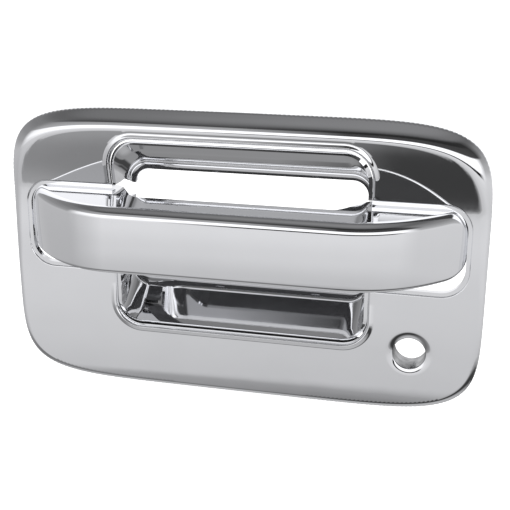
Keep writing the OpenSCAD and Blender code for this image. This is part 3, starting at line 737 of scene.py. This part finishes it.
class HANDLE_OT_bezel(bpy.types.Operator):
    """Build the bezel's plated face, its pocket and slot walls, and the forms on its back"""

    bl_idname = "door_handle.bezel"
    bl_label = "Build Bezel"

    def execute(self, context):
        bezel = context.scene.handle_bezel
        points, normals, faces = face_mesh(bezel)
        pieces = [thick_sheet("bezel_face", points, normals, faces, bezel.wall)]
        for top in (True, False):
            name = "pocket_roof" if top else "pocket_floor"
            pieces.append(sheet_from_grid(name, pocket_wall(bezel, top), bezel.wall))
        for right in (True, False):
            end = "right" if right else "left"
            pieces.append(sheet_from_grid(f"slot_wall_{end}", slot_wall(bezel, right), bezel.wall))
            pieces.append(sheet_from_grid(f"pocket_side_{end}", pocket_side(bezel, right), bezel.wall))
        pieces += [lip(bezel), lock_sleeve(bezel), insert_boss(bezel, -1), insert_boss(bezel, 1)]
        pieces += [screw_boss(k + 1, x, z) for k, (x, z) in enumerate(SCREW_BOSSES)]
        for piece in pieces:
            # The lock sleeve takes chrome darkened with painted shade for the inside of the hole
            finish = "Dull Chrome" if piece.name == "lock_sleeve" else "Bright Chrome"
            piece.data.materials.append(bpy.data.materials[finish])
            ride_with(piece, "housing", "chrome_bezel")
        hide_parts("bezel")
        return {"FINISHED"}


# Lever


def lever_front(lever, x):
    """The Y of the lever's face at x."""
    reach = -LEVER_LO.y
    t = max(0.0, abs(x) - lever.flat) / (LEVER_HI.x - lever.flat)
    return -(lever.tip_reach + (reach - lever.tip_reach) * (1 - min(t, 1.0) ** lever.turn))


def lever_back(lever, x):
    """The Y of the lever's back at x: slim in the middle and deep at the ends."""
    t = min(1.0, max(0.0, (abs(x) - lever.sweep_in) / (lever.sweep_out - lever.sweep_in)))
    return -lever.bar_back + (lever.bar_back + LEVER_HI.y) * t * t * (3 - 2 * t)


def lever_section(lever, x):
    """The cover's closed section at x: over the top, down the face, under, and round the back's recess."""
    front, back = lever_front(lever, x), lever_back(lever, x)
    slope = (lever_front(lever, abs(x)) - lever_front(lever, abs(x) - 0.1 * MM)) / (0.1 * MM)
    lean = math.sqrt(1 + slope * slope)
    past = max(0.0, abs(x) - (LEVER_HI.x - lever.corner))
    cut = lever.corner - math.sqrt(max(0.0, lever.corner**2 - past**2))
    low, high = LEVER_LO.z + cut, LEVER_HI.z - cut
    depth = back - front
    roll_y, roll_z = min(lever.roll * lean, depth * 0.6), min(lever.roll, (high - low) * 0.3)
    under_y, under_z = min(lever.under * lean, depth * 0.3), min(lever.under, (high - low) * 0.2)
    half, middle = (LEVER_HI.z - LEVER_LO.z) / 2, (LEVER_HI.z + LEVER_LO.z) / 2
    section = [(back + (front + roll_y - back) * t, high) for t in (0, 0.02, 0.2, 0.4, 0.6, 0.8, 0.95)]
    for k in range(15):
        a = math.pi / 2 * k / 14
        section.append((front + roll_y * (1 - math.sin(a)), high - roll_z * (1 - math.cos(a))))
    for t in (0.02, 0.1, 0.2, 0.3, 0.4, 0.5, 0.6, 0.7, 0.8, 0.9, 0.98):
        section.append((front, high - roll_z + (low + under_z - high + roll_z) * t))
    for k in range(9):
        a = math.pi / 2 * k / 8
        section.append((front + under_y * (1 - math.cos(a)), low + under_z * (1 - math.sin(a))))
    section += [(front + under_y + (back - front - under_y) * t, low) for t in (0.05, 0.3, 0.6, 0.98, 1)]
    inner = min(lever.recess, depth * 0.6) if abs(x) < LEVER_HI.x - lever.wall else 0.0
    w = lever.wall
    section += [(back, low + w), (back - inner, low + w), (back - inner, high - w), (back, high - w)]
    crown = lever.crown / half**2
    return [(x, y + (crown * (z - middle) ** 2 if y < back - inner else 0), z) for y, z in section]


def lever_places(lever):
    """Places along the lever, closer together where it turns."""
    end = LEVER_HI.x
    places = set()
    for k in range(49):
        places.add(round(lever.flat * k / 48, 6))
    for k in range(1, 61):
        places.add(round(lever.flat + (end - lever.flat) * (k / 60) ** 0.8, 6))
    places |= {round(end - lever.wall - 1e-5, 6), round(end - lever.wall + 1e-5, 6)}
    positive = sorted(places)
    return [-x for x in reversed(positive[1:])] + positive


class HANDLE_OT_lever(bpy.types.Operator):
    """Build the lever's plated cover"""

    bl_idname = "door_handle.lever"
    bl_label = "Build Lever"

    def execute(self, context):
        lever = context.scene.handle_lever
        sections = [lever_section(lever, x) for x in lever_places(lever)]
        points = [p for section in sections for p in section]
        faces = tube_faces(len(sections), len(sections[0]))
        cover = shown("lever_shell", points, turned_out(points, faces))
        mesh = cover.data
        mesh.validate()
        mesh.set_sharp_from_angle(angle=math.radians(35))
        mesh.materials.append(bpy.data.materials["Bright Chrome"])
        ride_with(cover, "lever", "chrome_lever", "lever_cover")
        return {"FINISHED"}


# Return spring


# The drive pin that the moving leg rests against, the gap between them, and the leg's overhang
DRIVE_PIN_R, LEG_GAP, LEG_OVERHANG = 2.5 * MM, 0.1 * MM, 3 * MM
WIRE_SIDES = 16


def spring_path(spring):
    """The middle line of the spring's wire: the moving leg, the coil, and the fixed leg."""
    radius, wire = spring.coil_r, spring.wire_d / 2
    near, far = -SPRING_HI.x + wire, -SPRING_LO.x - wire
    pin_y, pin_z = (DRIVE_LO.y + DRIVE_HI.y) / 2 - SHAFT_Y, (DRIVE_LO.z + DRIVE_HI.z) / 2 - SHAFT_Z
    pin_away = math.hypot(pin_y, pin_z)
    start = math.atan2(pin_z, pin_y) + math.acos((radius - DRIVE_PIN_R - wire - LEG_GAP) / pin_away)
    finish = math.pi / 2 + 2 * math.pi * spring.turns
    count = 40 * spring.turns
    coil = []
    for k in range(count + 1):
        t = k / count
        a = start + (finish - start) * t
        y, z = SHAFT_Y + radius * math.cos(a), SHAFT_Z + radius * math.sin(a)
        coil.append(Vector((-near - (far - near) * t, y, z)))
    moving = Vector((0, math.sin(start), -math.cos(start)))
    leg = [coil[0] + moving * (pin_away + LEG_OVERHANG) * t for t in (1, 0.66, 0.33)]
    fixed = [coil[-1] - Vector((0, coil[-1].y - SPRING_LO.y, 0)) * t for t in (0.33, 0.66, 1)]
    return leg + coil + fixed


def swept_wire(path, radius):
    """Rings of points round a path that never runs along X."""
    points = []
    for i, p in enumerate(path):
        along = (path[min(i + 1, len(path) - 1)] - path[max(i - 1, 0)]).normalized()
        u = along.cross(Vector((1, 0, 0))).normalized()
        v = u.cross(along)
        for k in range(WIRE_SIDES):
            a = 2 * math.pi * k / WIRE_SIDES
            points.append(p + radius * (math.cos(a) * u + math.sin(a) * v))
    return points


class HANDLE_OT_spring(bpy.types.Operator):
    """Build the return spring: a torsion coil about the shaft with two straight legs"""

    bl_idname = "door_handle.spring"
    bl_label = "Build Spring"

    def execute(self, context):
        spring = context.scene.handle_spring
        path = spring_path(spring)
        points = swept_wire(path, spring.wire_d / 2)
        faces = tube_faces(len(path), WIRE_SIDES)
        coil = shown("spring_coil", points, turned_out(points, faces))
        coil.data.set_sharp_from_angle(angle=math.radians(50))
        coil.data.materials.append(bpy.data.materials["Spring Steel"])
        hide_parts("return_spring")
        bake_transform(coil)
        return {"FINISHED"}


# Finishes


def new_finish(name):
    """A new material, its node tree, its shader and its object coordinates."""
    material = bpy.data.materials.new(name)
    material.use_nodes = True
    tree = material.node_tree
    shader = tree.nodes["Principled BSDF"]
    place = tree.nodes.new("ShaderNodeTexCoord")
    return material, tree, shader, place.outputs["Object"]


def grain(tree, place, scale, detail=3.0, roughness=0.5, stretch=None):
    """Noise over the object, stretched along an axis where a stretch is given."""
    noise = tree.nodes.new("ShaderNodeTexNoise")
    noise.inputs["Scale"].default_value = scale
    noise.inputs["Detail"].default_value = detail
    noise.inputs["Roughness"].default_value = roughness
    if stretch:
        mapping = tree.nodes.new("ShaderNodeMapping")
        mapping.inputs["Scale"].default_value = stretch
        tree.links.new(place, mapping.inputs["Vector"])
        place = mapping.outputs["Vector"]
    tree.links.new(place, noise.inputs["Vector"])
    return noise.outputs["Fac"]


def ranged(tree, value, low, high, start=0.3, end=0.7):
    """Spreads a value between low and high."""
    span = tree.nodes.new("ShaderNodeMapRange")
    for name, number in (("From Min", start), ("From Max", end), ("To Min", low), ("To Max", high)):
        span.inputs[name].default_value = number
    tree.links.new(value, span.inputs["Value"])
    return span.outputs["Result"]


def shaded(tree, value, tone, dark, light):
    """A colour that varies between a darker and a lighter tone of itself."""
    ramp = tree.nodes.new("ShaderNodeValToRGB")
    ramp.color_ramp.elements[0].position = 0.3
    ramp.color_ramp.elements[1].position = 0.7
    ramp.color_ramp.elements[0].color = (*[min(1, c * dark) for c in tone], 1)
    ramp.color_ramp.elements[1].color = (*[min(1, c * light) for c in tone], 1)
    tree.links.new(value, ramp.inputs["Fac"])
    return ramp.outputs["Color"]


def relief(tree, shader, value, depth):
    """Raises a surface by a value times a depth."""
    bump = tree.nodes.new("ShaderNodeBump")
    bump.inputs["Distance"].default_value = depth
    bump.inputs["Strength"].default_value = 1
    tree.links.new(value, bump.inputs["Height"])
    tree.links.new(bump.outputs["Normal"], shader.inputs["Normal"])


def edge_wear(tree, tone_output, worn, amount=0.6):
    """Lightens a colour along the edges that hands and tools rub."""
    edges = tree.nodes.new("ShaderNodeNewGeometry")
    mix = tree.nodes.new("ShaderNodeMix")
    mix.data_type = "RGBA"
    tree.links.new(ranged(tree, edges.outputs["Pointiness"], 0, amount, 0.52, 0.6), mix.inputs["Factor"])
    tree.links.new(tone_output, mix.inputs["A"])
    mix.inputs["B"].default_value = (*worn, 1)
    return mix.outputs["Result"]


def bright_chrome(tone):
    """Plated plastic: near mirror, with a faint ripple and haze."""
    _, tree, shader, place = new_finish("Bright Chrome")
    shader.inputs["Metallic"].default_value = 1
    tree.links.new(shaded(tree, grain(tree, place, 30), tone, 0.975, 1.0), shader.inputs["Base Color"])
    tree.links.new(ranged(tree, grain(tree, place, 220, 5), 0.018, 0.055), shader.inputs["Roughness"])
    relief(tree, shader, grain(tree, place, 55, 1.0), 0.02 * MM)


def painted_shade_chrome(tone):
    """Chrome for inside the lock hole, its colour darkened as painted shade: darker, patchy and hazy."""
    _, tree, shader, place = new_finish("Dull Chrome")
    shader.inputs["Metallic"].default_value = 1
    # Painted shade: the chrome's colour cut to between 0.16 and 0.6 of itself, standing in for the shade
    # inside the lock hole
    tree.links.new(shaded(tree, grain(tree, place, 130), tone, 0.16, 0.6), shader.inputs["Base Color"])
    tree.links.new(ranged(tree, grain(tree, place, 300, 4), 0.08, 0.22), shader.inputs["Roughness"])


def black_nylon(tone):
    """Glass filled moulding with a fine spark texture."""
    _, tree, shader, place = new_finish("Black Nylon")
    tint = shaded(tree, grain(tree, place, 60), tone, 0.8, 1.5)
    tree.links.new(edge_wear(tree, tint, (0.06, 0.06, 0.065)), shader.inputs["Base Color"])
    tree.links.new(ranged(tree, grain(tree, place, 300, 4), 0.42, 0.62), shader.inputs["Roughness"])
    relief(tree, shader, grain(tree, place, 2400, 2), 0.04 * MM)


def seal_rubber(tone):
    """Moulded rubber, dull and faintly dusty."""
    _, tree, shader, place = new_finish("Seal Rubber")
    tree.links.new(shaded(tree, grain(tree, place, 90, 5), tone, 0.8, 1.9), shader.inputs["Base Color"])
    tree.links.new(ranged(tree, grain(tree, place, 500, 4), 0.62, 0.85), shader.inputs["Roughness"])
    relief(tree, shader, grain(tree, place, 1500, 3), 0.05 * MM)


def natural_nylon(tone):
    """Unpigmented moulding that light sinks into a little."""
    _, tree, shader, place = new_finish("Natural Nylon")
    tree.links.new(shaded(tree, grain(tree, place, 120), tone, 0.9, 1.05), shader.inputs["Base Color"])
    tree.links.new(ranged(tree, grain(tree, place, 400), 0.3, 0.45), shader.inputs["Roughness"])
    shader.inputs["Subsurface Weight"].default_value = 0.15
    shader.inputs["Subsurface Scale"].default_value = 1 * MM
    relief(tree, shader, grain(tree, place, 1400, 2), 0.015 * MM)


def turned_metal(name, tone, low, high):
    """Machined metal, its tool lines running round X."""
    _, tree, shader, place = new_finish(name)
    shader.inputs["Metallic"].default_value = 1
    tree.links.new(shaded(tree, grain(tree, place, 250, 4), tone, 0.82, 1.1), shader.inputs["Base Color"])
    tree.links.new(ranged(tree, grain(tree, place, 700, 4), low, high), shader.inputs["Roughness"])
    relief(tree, shader, grain(tree, place, 900, 2, 0.5, (12, 1, 1)), 0.012 * MM)


def cast_metal(name, tone, low, high, depth):
    """Cast metal with a granular skin and duller hollows."""
    _, tree, shader, place = new_finish(name)
    shader.inputs["Metallic"].default_value = 1
    tint = shaded(tree, grain(tree, place, 160, 6, 0.6), tone, 0.7, 1.15)
    tree.links.new(edge_wear(tree, tint, [min(1, 1.5 * c) for c in tone], 0.5), shader.inputs["Base Color"])
    tree.links.new(ranged(tree, grain(tree, place, 500, 5), low, high), shader.inputs["Roughness"])
    relief(tree, shader, grain(tree, place, 1300, 4), depth)


def plated_steel(name, tone, low, high):
    """Plated or pressed steel with a cloudy sheen."""
    _, tree, shader, place = new_finish(name)
    shader.inputs["Metallic"].default_value = 1
    cloud = grain(tree, place, 350, 5, 0.65)
    tree.links.new(shaded(tree, cloud, tone, 0.8, 1.12), shader.inputs["Base Color"])
    tree.links.new(ranged(tree, grain(tree, place, 260, 4), low, high), shader.inputs["Roughness"])
    relief(tree, shader, grain(tree, place, 1600, 2), 0.008 * MM)


# The frame nodes that take each finish
NODE_FINISHES = {
    "Seal Rubber": ("gasket", "bump_stops"),
    "Brass": ("door_inserts",),
    "Black Nylon": ("pivot_bracket", "grip_back"),
    "Zinc Plate": ("bracket_screws", "arm_screws", "cover_screws"),
    "Ground Steel": ("pivot_shaft", "bellcrank_pin", "drive_pin", "counterweight_rivets"),
    "Spring Steel": ("shaft_clips", "bellcrank_pin_clip", "rod_clip_washer"),
    "Cast Zinc": ("left_arm", "right_arm"),
    "Bronze": ("left_bush", "right_bush", "bellcrank_bush"),
    "Cast Iron": ("counterweight",),
    "Natural Nylon": ("drive_sleeve", "rod_clip"),
    "Pressed Steel": ("bellcrank",),
}


class HANDLE_OT_finishes(bpy.types.Operator):
    """Make the finishes and give them to the parts that keep their frame shape"""

    bl_idname = "door_handle.finishes"
    bl_label = "Make Finishes"

    def execute(self, context):
        colours = context.scene.handle_finish
        bright_chrome(colours.chrome)
        painted_shade_chrome(colours.chrome)
        black_nylon(colours.nylon)
        seal_rubber(colours.rubber)
        natural_nylon(colours.natural)
        turned_metal("Brass", colours.brass, 0.2, 0.36)
        turned_metal("Bronze", colours.bronze, 0.34, 0.52)
        turned_metal("Ground Steel", colours.steel, 0.14, 0.28)
        cast_metal("Cast Zinc", colours.zinc_cast, 0.38, 0.55, 0.03 * MM)
        cast_metal("Cast Iron", colours.iron, 0.5, 0.72, 0.07 * MM)
        plated_steel("Zinc Plate", colours.zinc_plate, 0.22, 0.38)
        plated_steel("Pressed Steel", [0.9 * c for c in colours.zinc_plate], 0.28, 0.44)
        plated_steel("Spring Steel", colours.spring, 0.26, 0.42)
        for finish, names in NODE_FINISHES.items():
            for name in names:
                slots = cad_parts[name].data.materials
                slots.clear()
                slots.append(bpy.data.materials[finish])
        return {"FINISHED"}


# Stage

# Tones of the reflected room by the sine of the height above the horizon
FRONT_TONES = (
    (-1.0, 0.55), (-0.82, 0.5), (-0.70, 0.2), (-0.62, 0.16), (-0.53, 0.24), (-0.49, 0.34),
    (-0.46, 0.58), (-0.32, 0.70), (-0.18, 0.78), (-0.05, 1.1), (0.1, 1.4), (0.32, 1.3),
    (0.40, 0.46), (0.66, 0.36), (0.72, 0.06), (0.9, 0.12), (1.0, 0.24),
)
SIDE_TONES = (
    (-1.0, 0.5), (-0.88, 0.45), (-0.75, 0.26), (-0.55, 0.32), (-0.36, 0.64), (-0.12, 0.70),
    (0.1, 0.45), (0.34, 0.34), (0.6, 0.24), (0.82, 0.13), (0.92, 0.18), (1.0, 0.24),
)
BACK_TONES = (
    (-1.0, 0.4), (-0.84, 0.4), (-0.72, 0.30), (-0.6, 0.24), (-0.45, 0.05), (-0.36, 0.3),
    (-0.1, 0.75), (0.05, 1.0), (0.45, 0.95), (0.6, 0.3), (1.0, 0.24),
)
# How strongly each dark band of the room shows at each height
LOW_BAND = ((-1.0, 0), (-0.72, 0), (-0.66, 1), (-0.56, 1), (-0.5, 0), (1.0, 0))
HIGH_BAND = ((-1.0, 0), (0.32, 0), (0.40, 1), (0.8, 1), (0.9, 0), (1.0, 0))
HORIZON_BAND = ((-1.0, 0), (-0.17, 0), (-0.14, 1), (-0.08, 1), (-0.05, 0), (1.0, 0))
DULL, NEAR_BLACK, BLACK = (0.12, 0.12, 0.125, 1), (0.02, 0.02, 0.02, 1), (0.01, 0.01, 0.01, 1)

FLOOR_DROP = 20 * MM
FLOOR_HALF = 6.0
FLOOR_GLOW = 0.5
SENSOR_WIDTH = 36


def tones(tree, value, stops):
    """A gray that changes with a value from -1 to 1, through the given (value, tone) stops."""
    node = tree.nodes.new("ShaderNodeValToRGB")
    node.color_ramp.interpolation = "EASE"
    elements = node.color_ramp.elements
    while len(elements) < len(stops):
        elements.new(0.5)
    for element, (at, tone) in zip(elements, stops):
        element.position = (at + 1) / 2
        element.color = (tone, tone, tone * 1.015, 1)
    tree.links.new(ranged(tree, value, 0, 1, -1, 1), node.inputs["Fac"])
    return node.outputs["Color"]


def blended(tree, factor, a, b):
    """A mix of two colours, each an output or a plain colour."""
    mix = tree.nodes.new("ShaderNodeMix")
    mix.data_type = "RGBA"
    tree.links.new(factor, mix.inputs["Factor"])
    for value, socket in ((a, mix.inputs["A"]), (b, mix.inputs["B"])):
        if isinstance(value, tuple):
            socket.default_value = value
        else:
            tree.links.new(value, socket)
    return mix.outputs["Result"]


def product(tree, a, b):
    """Two values multiplied."""
    node = tree.nodes.new("ShaderNodeMath")
    node.operation = "MULTIPLY"
    tree.links.new(a, node.inputs[0])
    tree.links.new(b, node.inputs[1])
    return node.outputs["Value"]


def reflected_room(tree, direction):
    """What the plating mirrors: a room bright ahead and behind, and darker low down and overhead."""
    split = tree.nodes.new("ShaderNodeSeparateXYZ")
    tree.links.new(direction, split.inputs["Vector"])
    east, north, height = split.outputs
    ahead = tones(tree, height, FRONT_TONES)
    around = tones(tree, height, SIDE_TONES)
    behind = tones(tree, height, BACK_TONES)
    room = blended(tree, ranged(tree, north, 1, 0, -0.5, -0.25), around, ahead)
    room = blended(tree, ranged(tree, north, 0, 1, 0.55, 0.8), room, behind)
    # The left side is duller, and a nearly black band runs low down on the right
    room = blended(tree, ranged(tree, east, 0.3, 0, -0.9, -0.45), room, DULL)
    low = product(tree, tones(tree, height, LOW_BAND), ranged(tree, east, 0, 0.85, -0.2, -0.08))
    room = blended(tree, low, room, NEAR_BLACK)
    # A dark panel stands high ahead on the right
    high = product(tree, tones(tree, height, HIGH_BAND), ranged(tree, east, 0, 0.9, -0.24, -0.12))
    high = product(tree, high, ranged(tree, north, 1, 0, -0.3, -0.1))
    room = blended(tree, high, room, NEAR_BLACK)
    # A dark line along the horizon ahead, towards the right
    line = product(tree, tones(tree, height, HORIZON_BAND), ranged(tree, north, 1, 0, -0.6, -0.4))
    line = product(tree, line, ranged(tree, east, 0, 1, -0.32, -0.24))
    return blended(tree, line, room, BLACK)


def lay_floor(stage):
    """A plain pale floor that the plating doesn't mirror."""
    corners = [(x * FLOOR_HALF, y * FLOOR_HALF) for x, y in ((-1, -1), (1, -1), (1, 1), (-1, 1))]
    floor = shown("floor", [(x, y, BEZEL_LO.z - FLOOR_DROP) for x, y in corners], [(0, 1, 2, 3)])
    material, tree, shader, place = new_finish("Pale Floor")
    tree.links.new(shaded(tree, grain(tree, place, 3), stage.floor, 0.99, 1.0), shader.inputs["Base Color"])
    shader.inputs["Roughness"].default_value = 1
    shader.inputs["Specular IOR Level"].default_value = 0
    shader.inputs["Emission Color"].default_value = (1, 1, 1, 1)
    shader.inputs["Emission Strength"].default_value = FLOOR_GLOW
    floor.data.materials.append(material)
    floor.visible_glossy = False


def light_studio(scene):
    """Even white light, with the reflected room in its place for what the plating mirrors."""
    world = bpy.data.worlds.new("Studio")
    scene.world = world
    world.use_nodes = True
    tree = world.node_tree
    tree.nodes.clear()
    place = tree.nodes.new("ShaderNodeTexCoord")
    room = tree.nodes.new("ShaderNodeBackground")
    tree.links.new(reflected_room(tree, place.outputs["Generated"]), room.inputs["Color"])
    plain = tree.nodes.new("ShaderNodeBackground")
    plain.inputs["Color"].default_value = (1, 1, 1, 1)
    path = tree.nodes.new("ShaderNodeLightPath")
    mix = tree.nodes.new("ShaderNodeMixShader")
    tree.links.new(path.outputs["Is Glossy Ray"], mix.inputs["Fac"])
    tree.links.new(plain.outputs["Background"], mix.inputs[1])
    tree.links.new(room.outputs["Background"], mix.inputs[2])
    output = tree.nodes.new("ShaderNodeOutputWorld")
    tree.links.new(mix.outputs["Shader"], output.inputs["Surface"])
    scene.view_settings.view_transform = "Standard"


def place_camera(scene, stage):
    """The camera, turned to the handle's middle."""
    data = bpy.data.cameras.new("camera")
    camera = bpy.data.objects.new("camera", data)
    scene.collection.objects.link(camera)
    scene.camera = camera
    level = math.cos(stage.elevation) * stage.distance
    height = math.sin(stage.elevation) * stage.distance
    camera.location = (level * math.sin(stage.azimuth), -level * math.cos(stage.azimuth), height)
    camera.rotation_euler = (-camera.location).to_track_quat("-Z", "Y").to_euler()
    data.lens = stage.lens
    data.sensor_width = SENSOR_WIDTH
    data.shift_x, data.shift_y = stage.shift
    data.clip_start = 10 * MM


class HANDLE_OT_stage(bpy.types.Operator):
    """Set the floor, the soft light and the camera"""

    bl_idname = "door_handle.stage"
    bl_label = "Set Stage"

    def execute(self, context):
        stage = context.scene.handle_stage
        lay_floor(stage)
        light_studio(context.scene)
        place_camera(context.scene, stage)
        return {"FINISHED"}


OPERATORS = (
    HANDLE_OT_finishes, HANDLE_OT_bezel, HANDLE_OT_lever, HANDLE_OT_spring, HANDLE_OT_stage,
)
SETTINGS = {
    "handle_bezel": BezelSettings,
    "handle_lever": LeverSettings,
    "handle_spring": SpringSettings,
    "handle_finish": FinishSettings,
    "handle_stage": StageSettings,
}


class HANDLE_PT_panel(bpy.types.Panel):
    """The handle's settings and builders"""

    bl_idname = "HANDLE_PT_panel"
    bl_label = "Door Handle"
    bl_space_type = "VIEW_3D"
    bl_region_type = "UI"
    bl_category = "Door Handle"

    def draw(self, context):
        layout = self.layout
        for operator in OPERATORS:
            layout.operator(operator.bl_idname)
        for name, group in SETTINGS.items():
            box = layout.box()
            box.label(text=group.__doc__)
            for setting in group.__annotations__:
                box.prop(getattr(context.scene, name), setting)


def register():
    """Makes the settings, the builders and the panel known."""
    for group in SETTINGS.values():
        bpy.utils.register_class(group)
    for operator in OPERATORS:
        bpy.utils.register_class(operator)
    bpy.utils.register_class(HANDLE_PT_panel)
    for name, group in SETTINGS.items():
        setattr(bpy.types.Scene, name, bpy.props.PointerProperty(type=group))


def unregister():
    """Takes back what register made known."""
    for name in SETTINGS:
        delattr(bpy.types.Scene, name)
    bpy.utils.unregister_class(HANDLE_PT_panel)
    for operator in reversed(OPERATORS):
        bpy.utils.unregister_class(operator)
    for group in reversed(list(SETTINGS.values())):
        bpy.utils.unregister_class(group)


def main():
    """Builds the handle and its stage."""
    register()
    bpy.ops.door_handle.finishes()
    bpy.ops.door_handle.bezel()
    bpy.ops.door_handle.lever()
    bpy.ops.door_handle.spring()
    bpy.ops.door_handle.stage()


if __name__ == "__main__":
    main()
